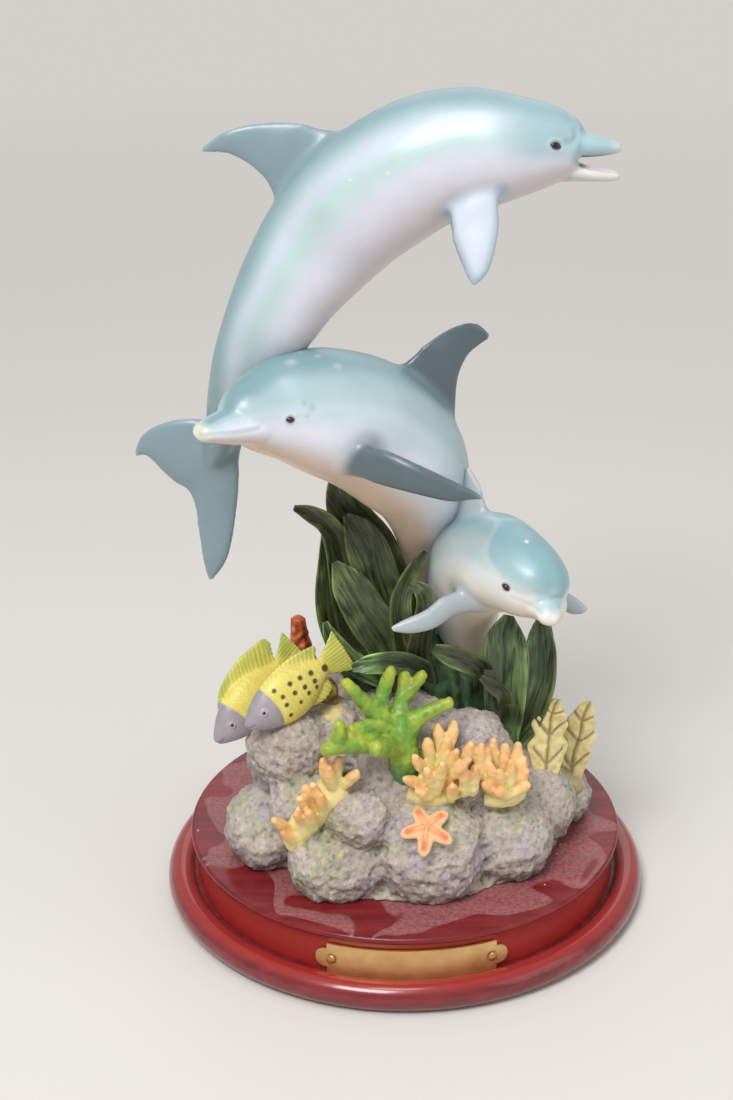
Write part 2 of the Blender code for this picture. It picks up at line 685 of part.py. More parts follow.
# Staghorn coral: branches from foot to tip as place and half thickness.
STAGHORN = [
    [(1, -30, 30, 4.0), (0, -35, 40, 3.6), (-1, -34, 48, 3.4), (-1, -32, 50, 2.6)],
    [(-1, -34, 46, 3.0), (-7, -33, 52, 2.3), (-12, -33, 58, 1.7), (-15.5, -33, 62, 1.3)],
    [(-6, -33, 51, 2.2), (-6, -31.5, 57, 1.8), (-3.5, -30, 64, 1.3)],
    [(-1, -33, 47, 3.0), (-1, -30, 54, 1.9), (0, -28, 58, 1.6), (0.2, -27, 61, 1.4)],
    [(-0.5, -29.5, 55, 1.7), (2.5, -28, 58, 1.5), (5, -27, 61.5, 1.3)],
    [(0, -34, 46, 3.0), (4, -32, 51, 2.0), (12, -31, 54.8, 1.5)],
    [(-2, -35, 47, 2.6), (-7, -37, 51, 1.9), (-14, -40, 51.3, 1.7)],
    [(-1, -36, 44, 3.0), (-8, -40, 47, 2.3), (-15, -42, 48.3, 2.1), (-20.5, -44, 48, 1.8)],
    [(-17, -42.5, 48, 2.0), (-17.4, -43, 52, 1.7), (-17.4, -43, 55, 1.3)],
    [(-3, -38, 45, 2.6), (-6, -43, 48, 2.3), (-7.5, -46, 49.5, 1.9)],
]

# Finger corals: foot masses, then fingertips with the half thickness of each finger.
FINGER_CORALS = {
    "left": (
        [(-17, -36, 35, 4.5), (-22, -37, 30, 5.0), (-28, -37, 23, 4.5), (-30, -37, 17, 3.5)],
        [
            (-17.5, -40, 42, 1.6), (-21, -40, 41, 1.8), (-12, -42, 39, 1.6), (-26.5, -42, 35, 1.8),
            (-28.5, -44, 31, 1.8), (-31.5, -42, 28, 1.6), (-35, -42, 24.5, 1.6), (-22, -44, 36, 1.7),
        ],
    ),
    "centre": (
        [(1, -36, 32, 3.5), (7, -37, 31, 5.0), (13, -34, 32, 5.0), (18, -32, 34, 3.5)],
        [
            (0, -41, 37.5, 1.6), (3, -38, 41, 1.6), (6.5, -34, 44, 1.6), (9, -30, 46.5, 1.6),
            (13.5, -30, 47, 1.6), (17.5, -38, 42, 1.7), (19, -34, 44, 1.6), (5, -43, 40, 1.7),
            (9, -43, 38.5, 1.7), (12, -39, 42, 1.6),
        ],
    ),
    "right": (
        [(22, -32, 28, 3.5), (26, -32, 28, 4.5), (30, -29, 27, 4.5), (32, -27, 26, 3.0)],
        [
            (24.5, -28, 40.5, 1.5), (28, -31, 40, 1.8), (31, -28, 39, 1.6), (33, -29, 34, 1.6),
            (34, -32, 29.5, 1.6), (26, -38, 31.5, 1.8), (22.5, -35, 36, 1.8),
        ],
    ),
}

# Leaf coral, sponges and starfish, in the same terms as the kelp leaves and the branches.
LEAF_CORAL = [
    [(42, 1, 10, 3.0), (41.5, 1, 17, 4.5), (41.5, 2, 24, 6.2), (43.5, 3, 31, 5.2), (46, 4, 36.5, 2.0)],
    [(46, -3, 10, 3.0), (48.5, -4, 18, 4.2), (51, -4, 26, 4.8), (53, -3, 33.5, 3.6), (53.5, -2, 39, 1.2)],
]
LEAF_CORAL_FOOT = [(40, 1, 12, 3), (42, 1, 12, 5), (46, -2, 12, 5), (49, -3, 12, 3)]
RED_SPONGE = [(-22, -9, 37, 3.5), (-25, -1, 44, 3.4), (-29, 3, 53, 3.2), (-30, 3, 62.5, 2.2)]
BARREL_SPONGE = [(-21, -12, 40, 2.6), (-21, -12.5, 46, 2.9), (-21, -13, 50, 2.6), (-21, -13, 51.5, 1.6)]
STARFISH_PLACE = (6.2, -46.2, 24.6)
STARFISH_TURN = math.radians(47)
STARFISH_ARM = 0.0068
STARFISH_WAIST = 0.0028
STARFISH_THICKNESS = 0.0022


def stem(rows, rings=5, sides=6):
    """A rounded branch through rows of place and half thickness."""
    places = [at(*row[:3]) for row in rows]
    stations = []
    for i, row in enumerate(rows):
        ahead = (places[min(i + 1, len(rows) - 1)] - places[max(i - 1, 0)]).normalized()
        across = ahead.cross(Vector((0.3, 1, 0.1))).normalized()
        stations.append((places[i], across * row[3] / 1000, across.cross(ahead) * row[3] / 1000))
    return swept(stations, rings, sides)


def finger_coral(name, foot, tips):
    """A finger coral: stubby fingers that rise from one foot."""
    pieces = [stem(foot, 6, 8)]
    for tip in tips:
        root = min(foot, key=lambda row: math.dist(row[:3], tip[:3]))
        x, y, z = (0.35 * t + 0.65 * r for t, r in zip(tip[:3], root[:3]))
        rows = [(*root[:3], tip[3] * 1.2), (x, y, z, tip[3] * 1.3), tip, (*tip[:3], tip[3] * 0.6)]
        pieces.append(stem(rows))
    return fuse(name, pieces)


def starfish():
    """A five armed starfish that lies against the front boulder."""
    outward = (at(*STARFISH_PLACE) - at(*BOULDERS[7][0])).normalized()
    bm = bmesh.new()
    bmesh.ops.create_circle(bm, cap_ends=True, segments=10, radius=1.0)
    for vert in bm.verts:
        turn = math.atan2(vert.co.y, vert.co.x)
        reach = STARFISH_ARM if round(turn / (math.pi / 5)) % 2 == 0 else STARFISH_WAIST
        vert.co = Vector((math.cos(turn), math.sin(turn), 0)) * reach
    bmesh.ops.poke(bm, faces=list(bm.faces), offset=STARFISH_THICKNESS * 0.6)
    lower = bmesh.ops.extrude_face_region(bm, geom=list(bm.faces))["geom"]
    for vert in [item for item in lower if isinstance(item, bmesh.types.BMVert)]:
        vert.co.z -= STARFISH_THICKNESS * 2.5
    star = solid_from(bm, "starfish")
    facing = outward.to_track_quat("Z", "Y").to_matrix().to_4x4()
    facing = facing @ Matrix.Rotation(STARFISH_TURN, 4, "Z")
    star.data.transform(Matrix.Translation(at(*STARFISH_PLACE)) @ facing)
    return star


def finish_off(thing, material):
    """Smooth shading with crisp creases, and the piece's own material."""
    thing.data.materials.clear()
    thing.data.materials.append(material)
    thing.data.shade_smooth()
    thing.data.set_sharp_from_angle(angle=math.radians(40))


def build():
    clear_scene()
    base = plinth()
    pin_turn = PIN_SPACING / 2 / BAND_RADIUS
    turns = {"left": PLATE_TURN - pin_turn, "right": PLATE_TURN + pin_turn}
    boolean(base, [pin_hole(turn, "hole " + side) for side, turn in turns.items()], "DIFFERENCE")
    plate = name_plate()
    boolean(plate, [pin_hole(turn, "hole " + side) for side, turn in turns.items()], "DIFFERENCE")
    pins = [pin("plate_pin_" + side, turn) for side, turn in turns.items()]
    rock = rock_base()

    middle = dolphin(
        "middle_dolphin", MIDDLE_SPINE, MIDDLE_GIRTH, [MIDDLE_SNOUT], MIDDLE_DORSAL,
        [MIDDLE_PECTORAL, mirrored(MIDDLE_PECTORAL, (-14, -16, 132), MIDDLE_FLANK)],
    )
    seat(middle, rock)
    lower = dolphin(
        "lower_dolphin", LOWER_SPINE, LOWER_GIRTH, [LOWER_SNOUT], LOWER_DORSAL,
        [LOWER_PECTORAL, LOWER_FAR_PECTORAL],
    )
    seat(lower, rock, middle)
    upper = dolphin(
        "upper_dolphin", UPPER_SPINE, UPPER_GIRTH, UPPER_JAWS, UPPER_DORSAL,
        [UPPER_PECTORAL, mirrored(UPPER_PECTORAL, (18, -12.5, 199), AWAY)], UPPER_FLUKE,
    )
    seat(upper, middle)
    weed = kelp()
    seat(weed, rock, middle, lower)
    front_fish = fish("front_fish", (-43, -32, 48), (-18, -16, 62), (-0.4, 0.1, 0.9))
    seat(front_fish, rock)
    rear_fish = fish("rear_fish", (-52, -26, 40), (-26, -5, 63), (-0.5, 0.1, 0.9))
    seat(rear_fish, rock, front_fish)

    staghorn = fuse("staghorn_coral", [stem(rows) for rows in STAGHORN])
    seat(staghorn, rock, weed)
    fingers = [finger_coral("finger_coral_" + side, *rows) for side, rows in FINGER_CORALS.items()]
    for coral in fingers:
        seat(coral, rock, staghorn)
    fronds = fuse("leaf_coral", [stem(LEAF_CORAL_FOOT)] + [leaf(rows) for rows in LEAF_CORAL])
    seat(fronds, rock, weed)
    sponge = stem(RED_SPONGE, 6, 8)
    sponge.name = "red_sponge"
    seat(sponge, rock, weed, rear_fish, front_fish)
    barrel = stem(BARREL_SPONGE, 6, 8)
    barrel.name = "barrel_sponge"
    seat(barrel, rock, weed, front_fish)
    star = starfish()
    seat(star, rock)

    finish_off(base, finish("cherry lacquer", "7A1E1E", 0.25))
    finish_off(plate, finish("brass", "D9B070", 0.3, 1.0))
    for nail in pins:
        finish_off(nail, finish("brass pin", "C9A060", 0.3, 1.0))
    finish_off(rock, finish("painted rock", "8A8286", 0.85))
    for animal in (upper, middle, lower):
        finish_off(animal, finish("airbrushed grey", "8FB0B0", 0.4))
    finish_off(weed, finish("kelp green", "3C5C34", 0.5))
    for swimmer in (front_fish, rear_fish):
        finish_off(swimmer, finish("fish yellow", "DCCB3A", 0.5))
    finish_off(staghorn, finish("staghorn green", "8FC52F", 0.45))
    for coral in fingers:
        finish_off(coral, finish("finger coral orange", "E5A860", 0.6))
    finish_off(fronds, finish("leaf coral yellow", "CDBB6A", 0.6))
    finish_off(sponge, finish("sponge red", "B5502E", 0.6))
    finish_off(barrel, finish("sponge brown", "B08A50", 0.6))
    finish_off(star, finish("starfish orange", "E0A060", 0.6))


build()
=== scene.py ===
"""Look of the dolphin figurine: painted resin castings on a lacquered wooden plinth.

Sizes are in millimetres from the plinth's axis, and heights count from the plinth's deck, unless a
comment says otherwise. The plate faces -Y, and the upper dolphin leaps to +X.
"""
import math

import bmesh
import bpy
import numpy as np
from mathutils import Matrix, Vector, noise
from mathutils.bvhtree import BVHTree
from mathutils.kdtree import KDTree


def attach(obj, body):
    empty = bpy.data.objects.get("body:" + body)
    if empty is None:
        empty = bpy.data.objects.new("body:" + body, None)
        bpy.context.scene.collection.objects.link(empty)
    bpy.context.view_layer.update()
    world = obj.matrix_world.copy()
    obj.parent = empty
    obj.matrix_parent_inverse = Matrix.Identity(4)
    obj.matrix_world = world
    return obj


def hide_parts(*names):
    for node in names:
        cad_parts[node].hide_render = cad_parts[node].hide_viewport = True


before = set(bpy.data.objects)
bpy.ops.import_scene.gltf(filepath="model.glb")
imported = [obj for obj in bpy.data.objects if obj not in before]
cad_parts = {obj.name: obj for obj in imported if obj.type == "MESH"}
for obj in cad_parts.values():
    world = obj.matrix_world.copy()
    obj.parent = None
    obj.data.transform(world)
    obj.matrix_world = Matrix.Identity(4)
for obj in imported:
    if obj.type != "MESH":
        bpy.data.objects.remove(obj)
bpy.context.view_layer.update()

# Camera and light. The camera stands where the photograph was taken: a little above the upper
# dolphin, tilted down on to the reef. The light is a large soft lamp at the upper left, as in a
# room with one big window, with weak ones above, at the right and behind. Both are in metres here.
CAMERA_PLACE = Vector((0, -0.5314483, 0.3483603))
PITCH, YAW, ROLL = (math.radians(angle) for angle in (24.4889, -1.1096, -0.6233))
FOCAL_PIXELS = 2100
PHOTO_WIDTH, PHOTO_HEIGHT = 733, 1100
look_ahead = Vector((math.sin(YAW) * math.cos(PITCH), math.cos(YAW) * math.cos(PITCH), -math.sin(PITCH)))
level_right = Vector((math.cos(YAW), -math.sin(YAW), 0))
look_right = level_right * math.cos(ROLL) + level_right.cross(look_ahead) * math.sin(ROLL)
look_up = look_right.cross(look_ahead)
lens = bpy.data.cameras.new("photo_camera")
lens.sensor_width = 36
lens.lens = FOCAL_PIXELS * lens.sensor_width / PHOTO_HEIGHT
lens.clip_start = 0.01
camera = bpy.data.objects.new("photo_camera", lens)
bpy.context.scene.collection.objects.link(camera)
turned = Matrix((look_right, look_up, -look_ahead)).transposed().to_4x4()
camera.matrix_world = Matrix.Translation(CAMERA_PLACE) @ turned
bpy.context.scene.camera = camera
bpy.context.scene.view_settings.view_transform = "Standard"

LAMPS_AIM = Vector((0, 0, 0.11))
for lamp_name, lamp_place, lamp_size, watts in (
    ("window", (-0.28, -0.64, 1.00), 0.42, 9.0),
    ("ceiling", (-0.05, -0.25, 1.20), 0.26, 1.6),
    ("room", (0.95, -0.45, 0.55), 0.80, 1.6),
    ("back_wall", (0.10, 1.10, 0.80), 0.90, 1.6),
):
    lamp = bpy.data.lights.new(lamp_name, "AREA")
    lamp.size = lamp_size
    lamp.energy = watts
    stand = bpy.data.objects.new(lamp_name, lamp)
    stand.location = lamp_place
    stand.rotation_euler = (LAMPS_AIM - stand.location).to_track_quat("-Z", "Y").to_euler()
    bpy.context.scene.collection.objects.link(stand)


def linear(hex_colour):
    """Linear RGBA of an sRGB hex colour."""
    shares = [int(hex_colour[i:i + 2], 16) / 255 for i in (0, 2, 4)]
    return [s / 12.92 if s <= 0.04045 else ((s + 0.055) / 1.055) ** 2.4 for s in shares] + [1.0]


def add(tree, kind, sockets=None, **settings):
    """Adds a node with its settings, and with a link, a hex colour or a value on each named socket."""
    made = tree.nodes.new("ShaderNode" + kind)
    for name, value in settings.items():
        setattr(made, name, value)
    for name, value in (sockets or {}).items():
        if isinstance(value, bpy.types.NodeSocket):
            tree.links.new(value, made.inputs[name])
        else:
            made.inputs[name].default_value = linear(value) if isinstance(value, str) else value
    return made


def new_finish(name, **values):
    """A material of one Principled shader, with the values that are the same all over."""
    finish = bpy.data.materials.new(name)
    finish.use_nodes = True
    shader = finish.node_tree.nodes["Principled BSDF"]
    for socket, value in values.items():
        value = linear(value) if isinstance(value, str) else value
        shader.inputs[socket.replace("_", " ")].default_value = value
    return finish, finish.node_tree, shader


SKY_STRENGTH = 0.52
WALL_GREY = "D2CFCA"
# Between these distances the paper runs into the wall's grey, so that no horizon shows.
PAPER_FADES = (0.3, 1.1)
room = bpy.data.worlds.new("studio")
room.use_nodes = True
sky = room.node_tree.nodes["Background"]
sky.inputs["Color"].default_value = linear("F4F5F8")
sky.inputs["Strength"].default_value = SKY_STRENGTH
# Only the lens sees the grey wall, and shiny surfaces see the sky.
wall = add(room.node_tree, "Background", {"Color": WALL_GREY, "Strength": 1.0}).outputs[0]
sight = add(room.node_tree, "LightPath").outputs["Is Camera Ray"]
seen = add(room.node_tree, "MixShader", {0: sight, 1: sky.outputs[0], 2: wall}).outputs[0]
room.node_tree.links.new(seen, room.node_tree.nodes["World Output"].inputs["Surface"])
bpy.context.scene.world = room

floor_mesh = bmesh.new()
bmesh.ops.create_grid(floor_mesh, x_segments=1, y_segments=1, size=4)
floor = bpy.data.objects.new("floor", bpy.data.meshes.new("floor"))
floor_mesh.to_mesh(floor.data)
floor_mesh.free()
bpy.context.scene.collection.objects.link(floor)
# Matt backdrop paper: pale and even, with no shine.
paper, tree, shader = new_finish("matt_backdrop_paper", Base_Color="DCD8D2", Roughness=0.9)
spot = add(tree, "TexCoord").outputs["Object"]
way_out = add(tree, "VectorMath", {0: spot}, operation="LENGTH").outputs["Value"]
far = add(tree, "MapRange", {"Value": way_out, "From Min": PAPER_FADES[0], "From Max": PAPER_FADES[1]})
far_paper = add(tree, "Emission", {"Color": WALL_GREY, "Strength": 1.0}).outputs[0]
paper_mix = add(tree, "MixShader", {0: far.outputs["Result"], 1: shader.outputs[0], 2: far_paper})
tree.links.new(paper_mix.outputs[0], tree.nodes["Material Output"].inputs["Surface"])
floor.data.materials.append(paper)


# Plinth: turned hardwood, a half round moulding below a straight band and a deck with a small lip.
# It is stained dark cherry and lacquered, and the deck holds a film of pale dust that was wiped off
# in patches.
DECK = 19.9
MOULDING_RADIUS = 70.0
MOULDING_HEIGHT = 8.4
BAND_RADIUS = 61.3
LIP_OVERHANG = 1.4
LIP_HEIGHT = 2.2
EDGE_ROUND = 0.9
FLAT_RADIUS = 58
TURNING_STEPS = 200
GRAIN_LENGTH, GRAIN_WIDTH = 40, 3.33
WIPE_SIZE, MOTE_SIZE, SPECK_SPACING = 26.3, 1.11, 5.88


def at(x, y, z):
    """A place in metres from millimetres off the plinth's axis and above its deck."""
    return Vector((x, y, z + DECK)) / 1000


def stand_up(name, bm):
    """Makes an object of a bmesh, with merged doubles and its faces out."""
    bmesh.ops.remove_doubles(bm, verts=bm.verts, dist=1e-6)
    bmesh.ops.recalc_face_normals(bm, faces=bm.faces)
    piece = bpy.data.objects.new(name, bpy.data.meshes.new(name))
    bm.to_mesh(piece.data)
    bm.free()
    piece.data.shade_smooth()
    bpy.context.scene.collection.objects.link(piece)
    return piece


def turn_on_lathe(name, profile, steps):
    """A solid of revolution from (radius, height above the floor) in millimetres."""
    bm = bmesh.new()
    verts = [bm.verts.new((radius / 1000, 0, height / 1000)) for radius, height in profile]
    edges = [bm.edges.new(pair) for pair in zip(verts, verts[1:])]
    bmesh.ops.spin(
        bm, geom=verts + edges, cent=(0, 0, 0), axis=(0, 0, 1), steps=steps,
        angle=2 * math.pi, use_merge=True,
    )
    return stand_up(name, bm)


bead = MOULDING_HEIGHT / 2
plinth_profile = [(0, 0), (MOULDING_RADIUS - bead - 1.0, 0)]
for step in range(25):
    turn = math.radians(-90 + 10 * step)
    plinth_profile.append((MOULDING_RADIUS - bead + bead * math.cos(turn), bead + bead * math.sin(turn)))
groove_height = plinth_profile[-1][1]
under_lip = DECK - LIP_HEIGHT
plinth_profile += [
    (BAND_RADIUS + 0.25, groove_height - 0.1), (BAND_RADIUS, groove_height + 0.4),
    (BAND_RADIUS, under_lip - 0.5), (BAND_RADIUS + 0.15, under_lip - 0.12),
    (BAND_RADIUS + LIP_OVERHANG - 0.5, under_lip + 0.25), (BAND_RADIUS + LIP_OVERHANG - 0.1, under_lip + 0.6),
]
for step in range(7):
    turn = math.radians(15 * step)
    plinth_profile.append((
        BAND_RADIUS + LIP_OVERHANG - EDGE_ROUND + EDGE_ROUND * math.cos(turn),
        DECK - EDGE_ROUND + EDGE_ROUND * math.sin(turn),
    ))
plinth_profile += [(FLAT_RADIUS, DECK), (0, DECK)]
plinth = turn_on_lathe("turned_plinth", plinth_profile, TURNING_STEPS)
plinth.data.set_sharp_from_angle(angle=math.radians(50))

# Stained cherry under rubbed lacquer: a deep red with faint darker grain, and a soft broad shine.
lacquer, tree, shader = new_finish("rubbed_lacquered_cherry", Coat_Roughness=0.12, IOR=1.4)
spot = add(tree, "TexCoord").outputs["Object"]
grain_scale = (1000 / GRAIN_LENGTH, 1000 / GRAIN_WIDTH, 1000 / GRAIN_WIDTH)
along_grain = add(tree, "Mapping", {"Vector": spot, "Scale": grain_scale}).outputs["Vector"]
grain = add(tree, "TexNoise", {"Vector": along_grain, "Scale": 1.0, "Detail": 5.0}).outputs["Fac"]
stain = add(tree, "MapRange", {"Value": grain, "From Min": 0.35, "From Max": 0.7}).outputs["Result"]
wood = add(tree, "Mix", {0: stain, 6: "86262A", 7: "67171C"}, data_type="RGBA").outputs[2]
# The band is made brighter and more orange than the deck. Heights are in metres here.
height = add(tree, "SeparateXYZ", {"Vector": spot}).outputs["Z"]
low = add(tree, "MapRange", {"Value": height, "From Min": 0.0065, "From Max": 0.0078}).outputs["Result"]
high = add(tree, "MapRange", {"Value": height, "From Min": 0.0182, "From Max": 0.0172}).outputs["Result"]
on_band = add(tree, "Math", {0: low, 1: high}, operation="MULTIPLY").outputs[0]
on_band = add(tree, "Math", {0: on_band, 1: 0.75}, operation="MULTIPLY").outputs[0]
wood = add(tree, "Mix", {0: on_band, 6: wood, 7: "A42B23"}, data_type="RGBA").outputs[2]
# The dust lies on the deck only, in a wide ring round the rock with sharp wiped edges and a few
# wiped islands in it.
wipes = add(tree, "TexNoise", {
    "Vector": spot, "Scale": 1000 / WIPE_SIZE, "Detail": 1.2, "Distortion": 0.7,
}).outputs["Fac"]
off_axis = add(tree, "VectorMath", {0: spot}, operation="LENGTH").outputs["Value"]
waved = add(tree, "Math", {0: wipes, 1: 0.045}, operation="MULTIPLY").outputs[0]
edge_at = add(tree, "Math", {0: off_axis, 1: waved}, operation="ADD").outputs[0]
ring = add(tree, "MapRange", {"Value": edge_at, "From Min": 0.0842, "From Max": 0.0834}).outputs["Result"]
island = add(tree, "MapRange", {"Value": wipes, "From Min": 0.37, "From Max": 0.39}).outputs["Result"]
film = add(tree, "Math", {0: ring, 1: island}, operation="MULTIPLY").outputs[0]
top = add(tree, "MapRange", {"Value": height, "From Min": 0.0195, "From Max": 0.0198}).outputs["Result"]
film = add(tree, "Math", {0: film, 1: top}, operation="MULTIPLY").outputs[0]
motes = add(tree, "TexNoise", {"Vector": spot, "Scale": 1000 / MOTE_SIZE, "Detail": 2.0}).outputs["Fac"]
thin = add(tree, "MapRange", {
    "Value": motes, "From Min": 0.3, "From Max": 0.7, "To Min": 0.12, "To Max": 0.44,
}).outputs["Result"]
film = add(tree, "Math", {0: film, 1: thin}, operation="MULTIPLY").outputs[0]
dusty = add(tree, "Mix", {0: film, 6: wood, 7: "C59795"}, data_type="RGBA").outputs[2]
specks = add(tree, "TexVoronoi", {"Vector": spot, "Scale": 1000 / SPECK_SPACING}).outputs["Distance"]
speck = add(tree, "MapRange", {"Value": specks, "From Min": 0.05, "From Max": 0.035}).outputs["Result"]
rare = add(tree, "MapRange", {"Value": wipes, "From Min": 0.56, "From Max": 0.6}).outputs["Result"]
speck = add(tree, "Math", {0: speck, 1: rare}, operation="MULTIPLY").outputs[0]
speck = add(tree, "Math", {0: speck, 1: top}, operation="MULTIPLY").outputs[0]
dusty = add(tree, "Mix", {0: speck, 6: dusty, 7: "EADCD6"}, data_type="RGBA").outputs[2]
tree.links.new(dusty, shader.inputs["Base Color"])
dull = add(tree, "MapRange", {"Value": film, "To Min": 0.27, "To Max": 0.8}).outputs["Result"]
tree.links.new(dull, shader.inputs["Roughness"])
# The lacquer is thickest and shiniest on the moulding, and dull with dust on the deck.
thick = add(tree, "MapRange", {
    "Value": height, "From Min": 0.012, "From Max": 0.019, "To Min": 0.7, "To Max": 0.08,
}).outputs["Result"]
tree.links.new(thick, shader.inputs["Coat Weight"])
plinth.data.materials.append(lacquer)
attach(plinth, "root")
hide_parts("plinth")


# Name plate and pins: thin rolled brass, bent round the band and held by two small nails. The CAD
# solids have the right shape and stay. The plate is bare, a little tarnished, with fine lines along it.
ROLLING_LENGTH, ROLLING_SPACING, TARNISH_SIZE, NAIL_CLOUDS = 16.7, 0.385, 8.33, 1.11

# Rolled brass: a warm, broken shine, drawn out along the plate by the rolling lines.
brass, tree, shader = new_finish("aged_rolled_brass", Metallic=0.85)
spot = add(tree, "TexCoord").outputs["Object"]
rolled_scale = (1000 / ROLLING_LENGTH, 1000 / ROLLING_LENGTH, 1000 / ROLLING_SPACING)
rolled = add(tree, "Mapping", {"Vector": spot, "Scale": rolled_scale}).outputs["Vector"]
lines = add(tree, "TexNoise", {"Vector": rolled, "Scale": 1.0, "Detail": 3.0}).outputs["Fac"]
clouds = add(tree, "TexNoise", {"Vector": spot, "Scale": 1000 / TARNISH_SIZE, "Detail": 4.0}).outputs["Fac"]
tarnish = add(tree, "MapRange", {"Value": clouds, "From Min": 0.35, "From Max": 0.75}).outputs["Result"]
tone = add(tree, "Mix", {0: tarnish, 6: "EBCB8E", 7: "CFA566"}, data_type="RGBA").outputs[2]
tree.links.new(tone, shader.inputs["Base Color"])
worn = add(tree, "MapRange", {"Value": lines, "To Min": 0.36, "To Max": 0.56}).outputs["Result"]
tree.links.new(worn, shader.inputs["Roughness"])
ridges = add(tree, "Bump", {"Height": lines, "Strength": 0.25, "Distance": 0.0001}).outputs["Normal"]
tree.links.new(ridges, shader.inputs["Normal"])
# Brass nail heads: a darker shine than the plate's, with small clouds of tarnish.
nail_brass, tree, shader = new_finish("tarnished_brass_nail", Metallic=1.0, Roughness=0.35)
spot = add(tree, "TexCoord").outputs["Object"]
clouds = add(tree, "TexNoise", {"Vector": spot, "Scale": 1000 / NAIL_CLOUDS, "Detail": 3.0}).outputs["Fac"]
tone = add(tree, "Mix", {0: clouds, 6: "DDBB78", 7: "9C7744"}, data_type="RGBA").outputs[2]
tree.links.new(tone, shader.inputs["Base Color"])
for node, metal in (("name_plate", brass), ("plate_pin_left", nail_brass), ("plate_pin_right", nail_brass)):
    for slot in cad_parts[node].material_slots:
        slot.material = metal


# Rock: one resin casting of fused boulders, painted grey with a mauve cast. Dark wash lies in its
# pits, partly as painted shade, moss green in the folds, and dry-brushed gold on its high spots. The
# undersides are painted darker as shade, and the ridges paler as highlight. It is glued to the deck.
BOULDERS = [
    ((2, 2, 6), (34, 34, 42)), ((1, -3, 0), (45, 42, 6)), ((-32, -21, 36), (12, 12, 13)),
    ((-28, -29, 22), (10, 10, 10)), ((-39, -18, 8), (12, 14, 13)), ((-12, -35, 23), (10.5, 10, 10)),
    ((-18, -34, 7), (14.5, 14, 13)), ((7, -34, 10), (16, 15, 18)), ((28, -23, 8), (14, 15.5, 15)),
    ((46, 3, 6), (9, 11, 9.5)), ((38, -8, 10), (12, 14, 12)), ((0, -23, 28), (15, 14, 18)),
    ((18, -20, 29), (13, 13, 17)), ((-20, -15, 32), (13, 12, 15)), ((27, 2, 20), (14, 16, 14)),
    ((-35, 2, 20), (11, 14, 16)), ((-30, 24, 9), (16, 15, 15)), ((-2, 32, 10), (17, 14, 16)),
    ((28, 26, 8), (16, 15, 14)), ((-14, 22, 27), (14, 13, 14)), ((16, 20, 25), (14, 13, 14)),
]
ROCK_FACET = 0.64
GLUE = 0.3
OCHRE_SPOT_PIXEL = (333, 711)


def take_modifiers(piece):
    """Makes what an object's modifiers give its own mesh."""
    graph = bpy.context.evaluated_depsgraph_get()
    made = bpy.data.meshes.new_from_object(piece.evaluated_get(graph))
    piece.modifiers.clear()
    piece.data = made
    made.shade_smooth()


def cast(name, bm, facet, passes=2):
    """One casting: overlapping forms joined into one closed skin of small facets, then smoothed."""
    piece = stand_up(name, bm)
    skin = piece.modifiers.new("one skin", "REMESH")
    skin.mode = "VOXEL"
    skin.voxel_size = facet / 1000
    if passes:
        relax = piece.modifiers.new("relaxed", "SMOOTH")
        relax.iterations = passes
    take_modifiers(piece)
    return piece


def places_of(piece, field="co"):
    """An array of the vertices' places, or of their normals."""
    flat = np.empty(len(piece.data.vertices) * 3, np.float32)
    piece.data.vertices.foreach_get(field, flat)
    return flat.reshape(-1, 3)


def put_places(piece, places):
    """Moves the vertices to new places."""
    piece.data.vertices.foreach_set("co", np.asarray(places, np.float32).ravel())
    piece.data.update()


def hollowness(piece, passes):
    """How far each vertex lies in a hollow, in millimetres, negative on ridges."""
    ghost = bpy.data.objects.new("ghost", piece.data.copy())
    bpy.context.scene.collection.objects.link(ghost)
    relax = ghost.modifiers.new("relaxed", "SMOOTH")
    relax.iterations = passes
    take_modifiers(ghost)
    depth = ((places_of(ghost) - places_of(piece)) * places_of(piece, "normal")).sum(axis=1) * 1000
    bpy.data.objects.remove(ghost, do_unlink=True)
    return depth


def fade(low, high, values):
    """0 below low and 1 above high, with a smooth change between."""
    share = np.clip((values - low) / (high - low), 0, 1)
    return share * share * (3 - 2 * share)


def clouds_at(places, size, seed=0.0, octaves=1):
    """Smooth noise from -1 to 1 at places, with clouds of a size in millimetres."""
    shift = Vector((seed, seed * 1.7, -seed))
    scale = 1000 / size
    if octaves == 1:
        return np.array([noise.noise(Vector(p) * scale + shift) for p in places.tolist()])
    return np.array([
        noise.fractal(Vector(p) * scale + shift, 1.0, 2.0, octaves) for p in places.tolist()
    ])


def spray(paint, hex_colour, cover):
    """Lays a colour over the paint, as thickly as cover says, from 0 to 1."""
    colour = np.array(linear(hex_colour)[:3])
    return paint + (colour - paint) * np.clip(cover, 0, 1)[:, None]


def put_paint(piece, paint):
    """Stores the paint as the colour attribute that the material reads."""
    layer = piece.data.attributes.new("paint", "FLOAT_COLOR", "POINT")
    rgba = np.ones((len(paint), 4), np.float32)
    rgba[:, :3] = np.maximum(paint, 0)
    layer.data.foreach_set("color", rgba.ravel())


def skin_of(piece):
    """A piece's skin as a tree, for finding where a line meets it."""
    bm = bmesh.new()
    bm.from_mesh(piece.data)
    tree = BVHTree.FromBMesh(bm)
    bm.free()
    return tree


def seen_at(skin, px, py):
    """Where a line of sight through a pixel of the photograph meets a skin, or comes nearest to it."""
    look = look_ahead + look_right * (px - PHOTO_WIDTH / 2) / FOCAL_PIXELS
    look = (look + look_up * (PHOTO_HEIGHT / 2 - py) / FOCAL_PIXELS).normalized()
    place, normal = skin.ray_cast(CAMERA_PLACE, look)[:2]
    if place is None:
        spots = [skin.find_nearest(CAMERA_PLACE + look * reach / 1000) for reach in range(480, 680, 4)]
        place, normal = min(spots, key=lambda spot: spot[3])[:2]
    return place, normal


